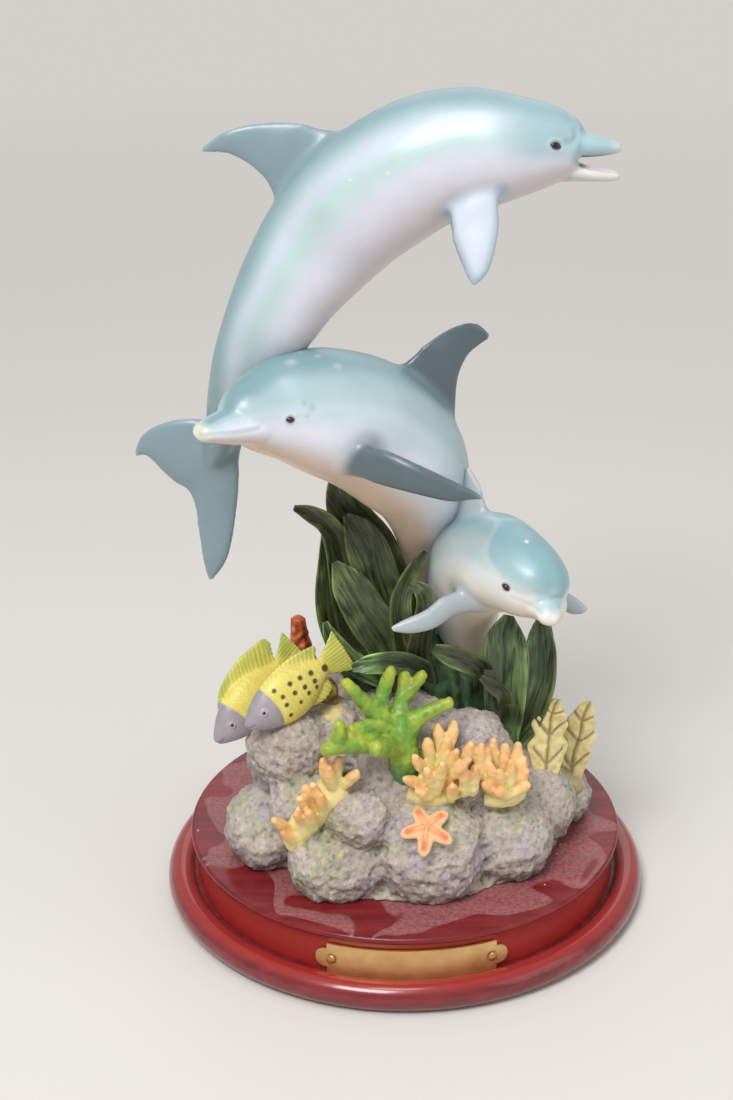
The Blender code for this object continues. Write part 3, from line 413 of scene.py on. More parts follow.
def dab(paint, piece, place, size, hex_colour, cover=1.0, edge=0.5):
    """A soft round touch of paint at a place."""
    gap = np.sqrt(((places_of(piece) - np.array(place)) ** 2).sum(axis=1)) * 1000
    return spray(paint, hex_colour, (1 - fade(size * (1 - edge), size, gap)) * cover)


def painted_resin(name, roughness, mottle, mottle_size, grit, grit_size, coat=0.0):
    """Cast resin under hand paint: the paint attribute, uneven by mottle, on a skin with fine grit."""
    finish, tree, shader = new_finish(name, Coat_Weight=coat, Coat_Roughness=0.25, IOR=1.5)
    spot = add(tree, "TexCoord").outputs["Object"]
    paint = add(tree, "Attribute", attribute_name="paint").outputs["Color"]
    cloud = add(tree, "TexNoise", {"Vector": spot, "Scale": 1000 / mottle_size, "Detail": 5.0})
    shade = add(tree, "MapRange", {
        "Value": cloud.outputs["Fac"], "From Min": 0.25, "From Max": 0.75,
        "To Min": 1 - mottle, "To Max": 1 + mottle,
    }).outputs["Result"]
    uneven = add(tree, "Mix", {0: 1.0, 6: paint, 7: shade}, data_type="RGBA", blend_type="MULTIPLY")
    tree.links.new(uneven.outputs[2], shader.inputs["Base Color"])
    grain = add(tree, "TexNoise", {"Vector": spot, "Scale": 1000 / grit_size, "Detail": 4.0}).outputs["Fac"]
    gloss = add(tree, "MapRange", {"Value": grain, "To Min": roughness - 0.06, "To Max": roughness + 0.08})
    tree.links.new(gloss.outputs["Result"], shader.inputs["Roughness"])
    bumps = add(tree, "Bump", {"Height": grain, "Strength": 1.0, "Distance": grit / 1000}).outputs["Normal"]
    tree.links.new(bumps, shader.inputs["Normal"])
    return finish


bm = bmesh.new()
for middle, halves in BOULDERS:
    ball = bmesh.ops.create_uvsphere(bm, u_segments=32, v_segments=20, radius=1.0)["verts"]
    bmesh.ops.scale(bm, vec=Vector(halves) / 1000, verts=ball)
    bmesh.ops.translate(bm, vec=at(*middle), verts=ball)
rock = cast("cast_rock", bm, ROCK_FACET, 26)
places, outward = places_of(rock), places_of(rock, "normal")
swell = clouds_at(places, 11, 3.0) * 1.2 + clouds_at(places, 4.5, 9.0) * 0.5
crust = clouds_at(places, 3.2, 13.0, 4) * 0.75
pits = -np.abs(clouds_at(places, 2.0, 21.0, 3)) * 0.5
put_places(rock, places + outward * ((swell + crust + pits) / 1000)[:, None])
bm = bmesh.new()
bm.from_mesh(rock.data)
foot = Vector((0, 0, (DECK + GLUE) / 1000))
cut = bmesh.ops.bisect_plane(
    bm, geom=list(bm.verts) + list(bm.edges) + list(bm.faces), plane_co=foot,
    plane_no=(0, 0, -1), clear_outer=True, dist=1e-6,
)["geom_cut"]
bmesh.ops.holes_fill(bm, edges=[item for item in cut if isinstance(item, bmesh.types.BMEdge)])
bm.to_mesh(rock.data)
bm.free()
rock.data.shade_smooth()
places = places_of(rock)
depth = hollowness(rock, 5)
folds = hollowness(rock, 22)
broad = hollowness(rock, 120)
patches = clouds_at(places, 15, 4.0, 2)
flecks = clouds_at(places, 1.5, 6.0, 2)
# Broad washes of mauve, brown and moss, then painted shade on the undersides, then dark wash in the
# hollows, partly painted shade, then the pale dry brush, partly painted highlight.
paint = np.tile(np.array(linear("BBAFA5")[:3]), (len(places), 1))
paint = spray(paint, "AFA3A9", fade(-0.1, 0.5, clouds_at(places, 9, 12.0, 2)) * 0.85)
paint = spray(paint, "9A8674", fade(0.1, 0.6, clouds_at(places, 18, 30.0)) * 0.5)
paint = spray(paint, "98A27F", fade(0.0, 0.55, patches) * 0.6)
paint = spray(paint, "7E8C62", fade(0.2, 1.5, broad) * 0.6)
# Painted shade: the undersides of the boulders are darker.
paint = spray(paint, "5A5250", fade(0.25, -0.6, places_of(rock, "normal")[:, 2]) * 0.6)
# Dark wash in the pits, folds and deep creases between boulders, partly painted shade.
paint = spray(paint, "4A4342", fade(0.02, 0.2, depth) * 0.5)
paint = spray(paint, "3B3535", fade(0.1, 0.7, folds) * 0.6)
paint = spray(paint, "4A4343", fade(1.3, 3.2, broad) * 0.6)
# Pale dry brush on the ridges, partly painted highlight. Gold flecks on the high spots.
paint = spray(paint, "D8CDC4", fade(0.04, 0.2, -depth) * 0.5)
paint = spray(paint, "DCC76C", fade(0.0, 0.12, -depth) * fade(0.25, 0.42, flecks) * fade(-0.2, 0.3, patches))
rock_skin = skin_of(rock)
paint = dab(paint, rock, seen_at(rock_skin, *OCHRE_SPOT_PIXEL)[0], 3.6, "DCC884", 0.85, 0.35)
put_paint(rock, paint)
# Matt acrylic over gritty resin: no shine, and a fine sandy grain.
rock.data.materials.append(painted_resin("painted_resin_rock", 0.72, 0.2, 1.5, 0.3, 0.6))
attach(rock, "root")
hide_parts("rock_base")


# Dolphins: three resin castings, smooth from the mould and airbrushed in soft bands, grey-teal
# on the back, lavender and mint on the flanks and a warm white belly, then sprayed with satin varnish.
# The fins run into the bodies with wide fillets, and the eyes are touched in with gloss black.
UPPER_GIRTH, MIDDLE_GIRTH, LOWER_GIRTH = 17.0, 17.1, 13.1
DORSAL_THICKNESS = (5.6, 1.4)
PECTORAL_THICKNESS = (6.6, 2.0)
FLUKE_THICKNESS = (6.2, 1.6)
DOLPHIN_FACET = 0.45
# A fin is this many times thicker where it starts inside the body, and where it leaves it.
ROOT_FLARE = (2.5, 1.35)
FILLET_REACH = 5.2
FILLET_PASSES = 110
OVERSPRAY = 6.0
LINE_STEP = 0.3


def between(stations, along):
    """Smooth values at a share of the way along a list of stations, each a tuple of vectors."""
    last = len(stations) - 1
    reach = min(along * last, last - 0.0001)
    i = int(reach)
    t = reach - i
    before, start, end, after = (stations[min(max(i + k, 0), last)] for k in (-1, 0, 1, 2))
    values = []
    for a, b, c, d in zip(before, start, end, after):
        bend = (2 * a - 5 * b + 4 * c - d) * t ** 2 + (3 * b - a - 3 * c + d) * t ** 3
        values.append(0.5 * (2 * b + (c - a) * t + bend))
    return values


def sweep(bm, stations, rings, sides):
    """Adds a closed form through stations of middle, half width and half height vectors."""
    ball = bmesh.ops.create_uvsphere(bm, u_segments=sides, v_segments=rings + 1, radius=1.0)["verts"]
    for vert in ball:
        ring = round(math.acos(max(-1.0, min(1.0, -vert.co.z))) / math.pi * (rings + 1))
        middle, across, upward = between(stations, min(max((ring - 1) / (rings - 1), 0), 1))
        if ring in (0, rings + 1):
            vert.co = middle
            continue
        turn = math.atan2(vert.co.y, vert.co.x)
        vert.co = middle + math.cos(turn) * across + math.sin(turn) * upward
    return ball


def trunk_stations(spine, girth):
    """Stations from rows of place, share of the girth, width for height and flank direction."""
    spots = [at(*row[0]) for row in spine]
    stations = []
    for i, (_, share, slim, flank) in enumerate(spine):
        ahead = (spots[min(i + 1, len(spots) - 1)] - spots[max(i - 1, 0)]).normalized()
        side = Vector(flank)
        side = (side - side.dot(ahead) * ahead).normalized()
        half = girth * share / 1000
        stations.append((spots[i], side * half * slim, side.cross(ahead) * half))
    return stations


def fin_stations(rows, thickness, both_tips=False):
    """Stations of a fin from rows of leading and trailing points, its root run on into the body."""
    edges = [(at(*front), at(*rear)) for front, rear in rows]
    if not both_tips:
        edges.insert(0, tuple(1.7 * near - 0.7 * far for near, far in zip(edges[0], edges[1])))
    middles = [(front + rear) / 2 for front, rear in edges]
    root, tip = thickness
    stations = []
    for i, (front, rear) in enumerate(edges):
        span = middles[min(i + 1, len(edges) - 1)] - middles[max(i - 1, 0)]
        chord = (front - rear) / 2
        out = i / (len(edges) - 1)
        share = abs(2 * out - 1) if both_tips else out
        thick = min((root + (tip - root) * share) / 1000, 1.4 * chord.length)
        if not both_tips and i < len(ROOT_FLARE):
            thick *= ROOT_FLARE[i]
        stations.append((middles[i], chord, chord.cross(span).normalized() * thick / 2))
    return stations


def mirrored(rows, place, flank):
    """The same fin on the other flank: rows mirrored in the body's middle plane."""
    normal = Vector(flank).normalized()

    def other_side(point):
        return tuple(Vector(point) - 2 * (Vector(point) - Vector(place)).dot(normal) * normal)

    return [(other_side(front), other_side(rear)) for front, rear in rows]


def near_line(places, line):
    """Each place's distance in millimetres from a smooth line through points."""
    stations = [(Vector(point),) for point in line]
    length = sum((b - a).length for (a,), (b,) in zip(stations, stations[1:]))
    count = max(2, int(length * 1000 / LINE_STEP))
    dots = np.array([between(stations, i / count)[0] for i in range(count + 1)], np.float32)
    best = np.full(len(places), 9.0, np.float32)
    for dot in dots:
        np.minimum(best, ((places - dot) ** 2).sum(axis=1), out=best)
    return np.sqrt(best) * 1000


def near_spots(places, spots):
    """Each place's distance in millimetres from the nearest of many spots."""
    tree = KDTree(len(spots))
    for i, spot in enumerate(spots.tolist()):
        tree.insert(spot, i)
    tree.balance()
    return np.array([tree.find(place)[2] for place in places.tolist()]) * 1000


def soften(piece, passes, weights):
    """Smooths a skin where the weights say."""
    group = piece.vertex_groups.new(name="soft")
    for i in np.flatnonzero(weights > 0.03).tolist():
        group.add([i], float(weights[i]), "REPLACE")
    relax = piece.modifiers.new("relaxed", "SMOOTH")
    relax.iterations = passes
    relax.vertex_group = "soft"
    take_modifiers(piece)
    piece.vertex_groups.clear()


def press(piece, line, width, depth):
    """Presses a groove into a skin along a line, or raises a ridge where the depth is negative."""
    places = places_of(piece)
    gap = near_line(places, line)
    dent = depth / 1000 * np.exp(-(gap / width) ** 2)
    put_places(piece, places - places_of(piece, "normal") * dent[:, None])


def opposite(skin, place, middle, flank):
    """The same spot on a body's other flank, and the skin's normal there."""
    normal = Vector(flank).normalized()
    return skin.find_nearest(place - 2 * (place - at(*middle)).dot(normal) * normal)[:2]


def body_shares(piece, spine, girth):
    """Each vertex's share along the body, height round it (-1 belly, 1 back) and reach off the spine."""
    stations = trunk_stations(spine, girth)
    count = 160
    samples = [between(stations, i / count) for i in range(count + 1)]
    middles = np.array([sample[0] for sample in samples])
    widths = np.array([sample[1] for sample in samples])
    heights = np.array([sample[2] for sample in samples])
    places = places_of(piece).astype(float)
    squares = (places ** 2).sum(axis=1)[:, None] + (middles ** 2).sum(axis=1) - 2 * places @ middles.T
    nearest = squares.argmin(axis=1)
    arm = places - middles[nearest]
    side = (arm * widths[nearest]).sum(axis=1) / (widths[nearest] ** 2).sum(axis=1)
    up = (arm * heights[nearest]).sum(axis=1) / (heights[nearest] ** 2).sum(axis=1)
    reach = np.sqrt(side ** 2 + up ** 2)
    return nearest / count, up / np.maximum(reach, 1e-6), reach


def dolphin(name, spine, girth, snouts, dorsal, pectorals, fluke=None):
    """A dolphin's bare casting, with its fins blended into the body."""
    bm = bmesh.new()
    sweep(bm, trunk_stations(spine, girth), 90, 56)
    for snout in snouts:
        sweep(bm, trunk_stations(snout, girth), 40, 36)
    sweep(bm, fin_stations(dorsal, DORSAL_THICKNESS), 40, 28)
    for rows in pectorals:
        sweep(bm, fin_stations(rows, PECTORAL_THICKNESS), 40, 28)
    if fluke:
        sweep(bm, fin_stations(fluke, FLUKE_THICKNESS, both_tips=True), 80, 28)
    piece = cast(name, bm, DOLPHIN_FACET, 5)
    along, _, reach = body_shares(piece, spine, girth)
    places = places_of(piece)
    roots = places[(reach > 1.04) & (reach < 1.14) & (along > 0.16)]
    soften(piece, FILLET_PASSES, 1 - fade(FILLET_REACH * 0.35, FILLET_REACH, near_spots(places, roots)))
    return piece


def airbrush(piece, spine, girth, tones):
    """The soft bands of paint that all three share: belly, flank, mint, band, back and fins. The upper
    dolphin's band is partly painted highlight.
    """
    along, height, reach = body_shares(piece, spine, girth)
    places = places_of(piece)
    drift = clouds_at(places, 22, 5.0) * 0.10
    level = height + drift
    paint = np.tile(np.array(linear(tones["belly"])[:3]), (len(along), 1))
    paint = spray(paint, tones["flank"], fade(-0.95, -0.35, level))
    paint = spray(paint, tones["mint"], fade(-0.30, 0.25, level))
    # A band on the upper flank. On the upper dolphin it is paler, and partly painted highlight.
    paint = spray(paint, tones["band"], fade(0.20, 0.50, level) * (1 - fade(0.55, 0.85, level)))
    paint = spray(paint, tones["back"], fade(0.50, 0.98, level))
    stands_out = (reach > 1.16) & (along > 0.16)
    fins = 1 - fade(0.0, OVERSPRAY, near_spots(places, places[stands_out]))
    fins = np.maximum(fins, fade(0.84, 0.92, along) * tones["tail"])
    paint = spray(paint, tones["fin"], fins)
    ridge = fade(0.08, 0.34, -hollowness(piece, 24)) * fins
    paint = spray(paint, tones["edge"], ridge * 0.6)
    return paint, along, level, fins


def stroke(paint, piece, line, size, hex_colour, cover=1.0):
    """A soft line of paint."""
    gap = near_line(places_of(piece), line)
    return spray(paint, hex_colour, (1 - fade(size * 0.3, size, gap)) * cover)


def eyes(name, sockets, size):
    """Almond eyes, domed out of their sockets."""
    bm = bmesh.new()
    for place, normal, forward, _ in sockets:
        along = (forward - forward.dot(normal) * normal).normalized()
        ball = bmesh.ops.create_uvsphere(bm, u_segments=28, v_segments=16, radius=1.0)["verts"]
        for vert in ball:
            x, y, z = vert.co
            y *= (1 - 0.45 * x * x)
            vert.co = (
                place + along * x * size[0] / 1000 + normal.cross(along) * y * size[1] / 1000
                + normal * (z * size[2] - 0.15) / 1000
            )
    piece = stand_up(name, bm)
    piece.data.materials.append(eye_black)
    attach(piece, "root")
    return piece


# Gloss black enamel, thick and wet looking, with a trace of brown.
ENAMEL_CLOUDS = 0.667
eye_black, tree, shader = new_finish("gloss_black_enamel", Roughness=0.12, Coat_Weight=0.5)
spot = add(tree, "TexCoord").outputs["Object"]
cloud = add(tree, "TexNoise", {"Vector": spot, "Scale": 1000 / ENAMEL_CLOUDS, "Detail": 2.0}).outputs["Fac"]
tone = add(tree, "Mix", {0: cloud, 6: "0C090A", 7: "241A1A"}, data_type="RGBA").outputs[2]
tree.links.new(tone, shader.inputs["Base Color"])
# Airbrushed acrylic under satin varnish: soft, slightly cloudy colour with a broad silky shine.
satin = painted_resin("airbrushed_satin_resin", 0.36, 0.04, 6.0, 0.012, 0.7, coat=0.3)


def eye_socket(piece, place, normal, forward, size):
    """Sinks a socket with a raised rim round an eye, and gives the rim's line."""
    along = (forward - forward.dot(normal) * normal).normalized()
    up = normal.cross(along)
    corner = along * 0.4 / 1000
    press(piece, [place - corner, place + corner], 1.1, 0.30)
    rim = []
    for step in range(13):
        turn = 2 * math.pi * step / 12
        off = along * math.cos(turn) * size[0] * 1.45 + up * math.sin(turn) * size[1] * 1.6
        rim.append(place + off / 1000)
    press(piece, rim, 0.5, -0.22)
    return rim


def sink_eyes(piece, skin, pixel, halfway, flank, nose, size):
    """Sinks a socket on each flank, and gives their places, normals, ways to the nose and rims."""
    near = seen_at(skin, *pixel)
    sockets = []
    for place, normal in (near, opposite(skin, near[0], halfway, flank)):
        rim = eye_socket(piece, place, normal, nose - place, size)
        sockets.append((place, normal, nose - place, rim))
    return sockets


def both_flanks(skin, pixels, halfway, flank):
    """A line over a body through pixels of the photograph, and its twin on the other flank."""
    near = [seen_at(skin, *pixel)[0] for pixel in pixels]
    return near, [opposite(skin, place, halfway, flank)[0] for place in near]


# Middle dolphin: it looks to the left with its tail sunk in the kelp, and carries the upper one on its
# back. Its fins are the darkest of the three, and a few freckles lie behind its eye.
MIDDLE_FLANK = (0.62, -0.78, 0)
MIDDLE_TURNED = (0.70, -0.70, 0)
MIDDLE_SPINE = [
    ((-43.5, -39, 140.5), 0.18, 1.0, MIDDLE_FLANK),
    ((-42, -37, 140.5), 0.36, 1.0, MIDDLE_FLANK),
    ((-37.5, -31, 139.0), 0.60, 0.98, MIDDLE_FLANK),
    ((-31, -25.5, 138.2), 0.80, 0.97, MIDDLE_FLANK),
    ((-22, -19.5, 135.2), 0.97, 0.97, MIDDLE_FLANK),
    ((-10, -12, 128.2), 1.05, 0.96, MIDDLE_FLANK),
    ((0, -6, 117), 1.0, 0.95, MIDDLE_TURNED),
    ((6, 2, 102), 0.78, 0.93, MIDDLE_TURNED),
    ((7.5, 8, 84), 0.52, 0.90, MIDDLE_TURNED),
    ((7, 12, 65), 0.34, 0.85, MIDDLE_TURNED),
    ((7, 14, 48), 0.26, 0.85, MIDDLE_TURNED),
    ((7, 14, 32), 0.24, 0.85, MIDDLE_TURNED),
]
MIDDLE_SNOUT = [
    ((-39, -34, 137.5), 0.34, 1.3, MIDDLE_FLANK),
    ((-44.5, -40, 138.5), 0.25, 1.3, MIDDLE_FLANK),
    ((-48, -44, 139.2), 0.18, 1.4, MIDDLE_FLANK),
    ((-50, -46.4, 139.5), 0.13, 1.4, MIDDLE_FLANK),
    ((-50.7, -47.2, 139.6), 0.07, 1.5, MIDDLE_FLANK),
]
MIDDLE_DORSAL = [
    ((-3, -9, 142), (14, 0, 122)),
    ((6, -6, 148.5), (14.5, -1, 130)),
    ((11, -3, 151), (14.5, -1, 137)),
    ((16, -1, 152.5), (17, 0, 143)),
    ((20, 0, 152), (20.5, 1, 146)),
    ((23, 1, 149), (22.8, 1, 147.5)),
]
MIDDLE_PECTORAL = [
    ((-15, -29, 130), (-14, -28, 121)),
    ((-6, -36, 131), (-5, -36, 121)),
    ((2, -40, 129), (4, -40, 120)),
    ((11, -41, 125), (12, -41, 118.5)),
    ((17, -40, 121.5), (17, -40, 118.5)),
    ((20, -40, 119.6), (20, -40, 118.6)),
]
MIDDLE_HALFWAY = (-14, -16, 132)
# An eye's half length, half height and rise.
MIDDLE_EYE = (1.08, 0.74, 0.55)
MIDDLE_EYE_PIXEL = (290.5, 420)
MIDDLE_LIP_PIXELS = ((200, 435), (212, 434), (224, 433), (238, 432), (250, 430), (259, 428))
# Freckles and pale spots by the photograph's pixel and their radius.
MIDDLE_FRECKLES = ((304, 403, 1.1), (312, 407, 1.6), (307, 416, 1.0), (298, 416, 0.7))
MIDDLE_PALE_SPOTS = ((291, 362, 2.6), (338, 366, 1.95), (300, 352, 1.82), (318, 356, 1.3))
middle = dolphin(
    "middle_dolphin_casting", MIDDLE_SPINE, MIDDLE_GIRTH, [MIDDLE_SNOUT], MIDDLE_DORSAL,
    [MIDDLE_PECTORAL, mirrored(MIDDLE_PECTORAL, MIDDLE_HALFWAY, MIDDLE_FLANK)],
)
skin = skin_of(middle)
nose = at(*MIDDLE_SNOUT[-1][0])
sockets = sink_eyes(middle, skin, MIDDLE_EYE_PIXEL, MIDDLE_HALFWAY, MIDDLE_FLANK, nose, MIDDLE_EYE)
lips = both_flanks(skin, MIDDLE_LIP_PIXELS, MIDDLE_HALFWAY, MIDDLE_FLANK)
for line in lips:
    press(middle, line, 0.7, 0.14)
paint = airbrush(middle, MIDDLE_SPINE, MIDDLE_GIRTH, {
    "belly": "D9BFAC", "flank": "E2E3EE", "mint": "BFD0D6", "band": "A9C0C4", "back": "7B9DA2",
    "fin": "56656B", "edge": "93A0A4", "tail": 0,
})[0]
paint = dab(paint, middle, nose, 4.5, "DDDCC2", 0.9, 0.82)
# A soft blue-grey line along each lip groove: partly a painted mouth line, partly painted shade in the
# groove.
for line in lips:
    paint = stroke(paint, middle, line, 0.8, "A4B7BD", 0.5)
for place, _, _, rim in sockets:
    paint = stroke(paint, middle, rim, 0.9, "DCD3D3", 0.45)
    paint = dab(paint, middle, place, 1.7, "8E8688", 0.7)
for px, py, size in MIDDLE_FRECKLES:
    paint = dab(paint, middle, seen_at(skin, px, py)[0], size, "8D9296", 0.35, 0.9)
for px, py, size in MIDDLE_PALE_SPOTS:
    paint = dab(paint, middle, seen_at(skin, px, py)[0], size, "C4CDD0", 0.45, 0.95)
put_paint(middle, paint)
middle.data.materials.append(satin)
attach(middle, "root")
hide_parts("middle_dolphin")
eyes("middle_dolphin_eyes", sockets, MIDDLE_EYE)


# Lower dolphin: the smallest, it leaps out of the kelp to the front right. A darker cape with a pale
# edge lies over its head, and its belly is the warmest white of the three.
LOWER_FLANK = (0.68, 0.73, 0)
LOWER_SPINE = [
    ((39.5, -37, 88.5), 0.20, 1.0, LOWER_FLANK),
    ((38.5, -35, 89.5), 0.48, 1.0, LOWER_FLANK),
    ((35.5, -31, 90), 0.72, 1.0, LOWER_FLANK),
    ((30, -24, 91), 0.89, 0.98, LOWER_FLANK),
    ((25, -17, 91), 0.99, 0.96, LOWER_FLANK),
    ((20, -9, 86.5), 1.0, 0.95, LOWER_FLANK),
    ((17, -2, 75), 0.86, 0.93, LOWER_FLANK),
    ((18, 4, 59), 0.65, 0.90, LOWER_FLANK),
    ((20, 8, 46), 0.47, 0.88, LOWER_FLANK),
    ((22, 9, 34), 0.34, 0.85, LOWER_FLANK),
    ((23, 9, 20), 0.28, 0.85, LOWER_FLANK),
]
LOWER_SNOUT = [
    ((36, -32, 86.5), 0.42, 1.3, LOWER_FLANK),
    ((37.8, -36.5, 86), 0.31, 1.3, LOWER_FLANK),
    ((37.8, -39.5, 85.4), 0.22, 1.3, LOWER_FLANK),
    ((37.6, -41.6, 85.0), 0.14, 1.4, LOWER_FLANK),
    ((37.5, -42.4, 84.8), 0.06, 1.7, LOWER_FLANK),
]
LOWER_DORSAL = [
    ((24, -17, 97), (15, -2, 92)),
    ((22.3, -13.5, 105.5), (14.2, -4, 101.6)),
    ((20.6, -11, 109.8), (15.4, -5, 107.3)),
    ((18.6, -9, 113), (16.4, -6.5, 111.5)),
    ((17.4, -8, 114.6), (17.1, -7.5, 114.2)),
]
LOWER_PECTORAL = [
    ((19, -21, 84), (22, -21, 77)),
    ((12, -25, 85), (14, -25, 78.5)),
    ((6, -29, 82), (8, -29, 76.5)),
    ((0, -31, 80), (2, -31, 76)),
    ((-3.6, -32, 78.4), (-2.8, -32, 77)),
]
LOWER_FAR_PECTORAL = [
    ((40, -17, 82), (38, -12, 77)),
    ((44, -15, 80), (42, -12, 75)),
    ((48, -14.5, 77.5), (46, -13, 73)),
    ((50.5, -14, 75.2), (49.6, -14, 73.4)),
]
LOWER_HALFWAY = (30, -24, 91)
LOWER_EYE = (1.25, 0.8, 0.6)
LOWER_EYE_PIXEL = (505.4, 587.3)
LOWER_LIP_PIXELS = ((511, 597), (521, 601), (532, 606), (541, 612), (550, 617))
LOWER_CREASE_PIXELS = ((509, 589), (514, 592), (521, 595), (530, 596), (540, 595), (547, 596))
# A painted highlight, a small white glint on the head, and the front of the brow, where the cape turns pale.
PAINTED_GLINT_PIXEL = (526.7, 541.4)
BROW = (38, -38, 88.5)
CAPE_EDGE_PIXELS = (
    (486, 515.6), (496.3, 519.6), (495, 528), (489.4, 538.5),
    (486, 549), (488, 560), (494, 568.4), (499.7, 573),
)
lower = dolphin(
    "lower_dolphin_casting", LOWER_SPINE, LOWER_GIRTH, [LOWER_SNOUT], LOWER_DORSAL,
    [LOWER_PECTORAL, LOWER_FAR_PECTORAL],
)
skin = skin_of(lower)
nose = at(*LOWER_SNOUT[-1][0])
sockets = sink_eyes(lower, skin, LOWER_EYE_PIXEL, LOWER_HALFWAY, LOWER_FLANK, nose, LOWER_EYE)
lips = both_flanks(skin, LOWER_LIP_PIXELS, LOWER_HALFWAY, LOWER_FLANK)
for line in lips:
    press(lower, line, 0.6, 0.15)
for line in both_flanks(skin, LOWER_CREASE_PIXELS, LOWER_HALFWAY, LOWER_FLANK):
    press(lower, line, 1.4, 0.4)
paint, along, level, _ = airbrush(lower, LOWER_SPINE, LOWER_GIRTH, {
    "belly": "E6D3BE", "flank": "E6E2D9", "mint": "D3D9D7", "band": "BACBCC", "back": "88AAAF",
    "fin": "A9B2B6", "edge": "DAD6D6", "tail": 0,
})
cape_edges = both_flanks(skin, CAPE_EDGE_PIXELS, LOWER_HALFWAY, LOWER_FLANK)
places = places_of(lower)
edge_spots = [int(((places - np.array(place)) ** 2).sum(axis=1).argmin()) for place in cape_edges[0]]
order = np.argsort(level[edge_spots])
cape_end = np.interp(level, level[edge_spots][order], along[edge_spots][order])
cape = fade(-0.012, 0.022, cape_end - along) * fade(-0.3, 0.3, level - level[edge_spots].min())
paint = spray(paint, "90B1B5", cape * 0.8)
paint = spray(paint, "7FA6AE", cape * fade(0.55, 0.95, level) * 0.6)
for line in cape_edges:
    paint = stroke(paint, lower, line, 1.1, "D9CDC8", 0.2)
for line in lips:
    paint = stroke(paint, lower, line, 0.8, "C4BBAC", 0.4)
for place, _, _, rim in sockets:
    paint = stroke(paint, lower, rim, 0.9, "E2DAD0", 0.45)
    paint = dab(paint, lower, place, 1.6, "8E8688", 0.6)
paint = dab(paint, lower, at(*BROW), 5.5, "A3C0C5", 0.75, 0.6)
paint = dab(paint, lower, nose, 2.8, "E2DDCC", 0.8, 0.9)
# Painted highlight: a small white glint on the head.
paint = dab(paint, lower, seen_at(skin, *PAINTED_GLINT_PIXEL)[0], 0.8, "EEF1F2", 0.7)
put_paint(lower, paint)
lower.data.materials.append(satin)
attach(lower, "root")
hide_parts("lower_dolphin")
eyes("lower_dolphin_eyes", sockets, LOWER_EYE)


# Upper dolphin: the longest, it arches over the others with its mouth open. Its belly is glued to the
# middle one's back, and its tail hangs down behind the middle one's beak.
AWAY = (0, 0.97, -0.25)
UPPER_SPINE = [
    ((44, -17, 202.5), 0.22, 1.0, AWAY),
    ((42.5, -17, 203), 0.40, 1.0, AWAY),
    ((37, -16, 203.5), 0.58, 0.98, AWAY),
    ((27, -15, 203), 0.77, 0.97, AWAY),
    ((18, -13, 202), 0.90, 0.95, AWAY),
    ((9, -12, 200), 0.96, 0.95, AWAY),
    ((0, -11, 195.5), 1.0, 0.94, AWAY),
    ((-12, -10, 187), 1.0, 0.92, AWAY),
    ((-21, -9, 177), 0.93, 0.90, AWAY),
    ((-29, -12, 166.6), 0.80, 0.88, AWAY),
    ((-35, -13, 156.2), 0.69, 0.86, (-0.1, 0.96, -0.25)),
    ((-41, -9.5, 144.5), 0.55, 0.84, (-0.3, 0.90, -0.1)),
    ((-46, -1, 131), 0.42, 0.86, (-0.55, 0.75, 0.1)),
    ((-50, 6, 118), 0.27, 1.0, (-0.85, 0.30, 0.45)),
    ((-53, 10, 109), 0.17, 1.1, (-0.85, 0.20, 0.50)),
]
UPPER_JAWS = [
    [
        ((37, -16, 206.5), 0.30, 1.3, AWAY),
        ((43, -17, 204.4), 0.21, 1.3, AWAY),
        ((48, -18, 203.8), 0.15, 1.3, AWAY),
        ((52.5, -18, 203.4), 0.09, 1.5, AWAY),
        ((54, -18, 203.2), 0.05, 1.7, AWAY),
    ],
    [
        ((36, -16, 199), 0.30, 1.3, AWAY),
        ((42, -17, 197.4), 0.16, 1.6, AWAY),
        ((48, -18, 196.7), 0.11, 1.7, AWAY),
        ((52.5, -18, 196.3), 0.08, 1.6, AWAY),
        ((54, -18, 196.2), 0.04, 1.7, AWAY),
    ],
]
UPPER_DORSAL = [
    ((-11, -7, 205), (-29, -7, 179)),
    ((-20, -6.5, 206.5), (-34, -6.5, 190)),
    ((-28, -6, 207.5), (-36.5, -6, 194.5)),
    ((-37, -5, 207), (-40.5, -5, 197.5)),
    ((-45, -5, 205), (-45, -5, 199.5)),
    ((-51, -4, 200.7), (-51, -4, 199.5)),
]
UPPER_PECTORAL = [
    ((24.5, -21, 199), (13, -21, 191)),
    ((24, -25, 195), (11.5, -25, 188)),
    ((24, -27, 189), (12, -27, 184.5)),
    ((23, -30, 182), (14, -30, 179.5)),
    ((21, -32, 176), (16, -32, 175)),
    ((18, -33, 173), (17, -33, 173)),
]
UPPER_FLUKE = [
    ((-75, 13, 110.8), (-75, 13, 109.4)),
    ((-72.5, 13, 116), (-71.5, 13, 109.5)),
    ((-66, 12, 120), (-67, 12, 105)),
    ((-57, 11, 121.5), (-63.5, 12, 101.5)),
    ((-44, 10, 121), (-61, 12, 99.5)),
    ((-45.5, 10, 109), (-59.5, 12, 96)),
    ((-46.5, 10, 97), (-58, 11, 88)),
    ((-49.5, 9, 81), (-57, 10, 79)),
    ((-54.2, 9, 73.3), (-55.6, 9, 73)),
]
UPPER_HALFWAY = (18, -12.5, 199)
UPPER_HEAD = (37, -16, 203.5)
UPPER_NOSE = (54, -18, 200)
UPPER_EYE = (1.4, 0.9, 0.6)
UPPER_EYE_PIXEL = (556, 145.8)
UPPER_CREASE_PIXELS = ((577, 132), (577, 138), (573, 143), (566, 144))
UPPER_CHIP_PIXELS = ((350, 180), (388, 173))
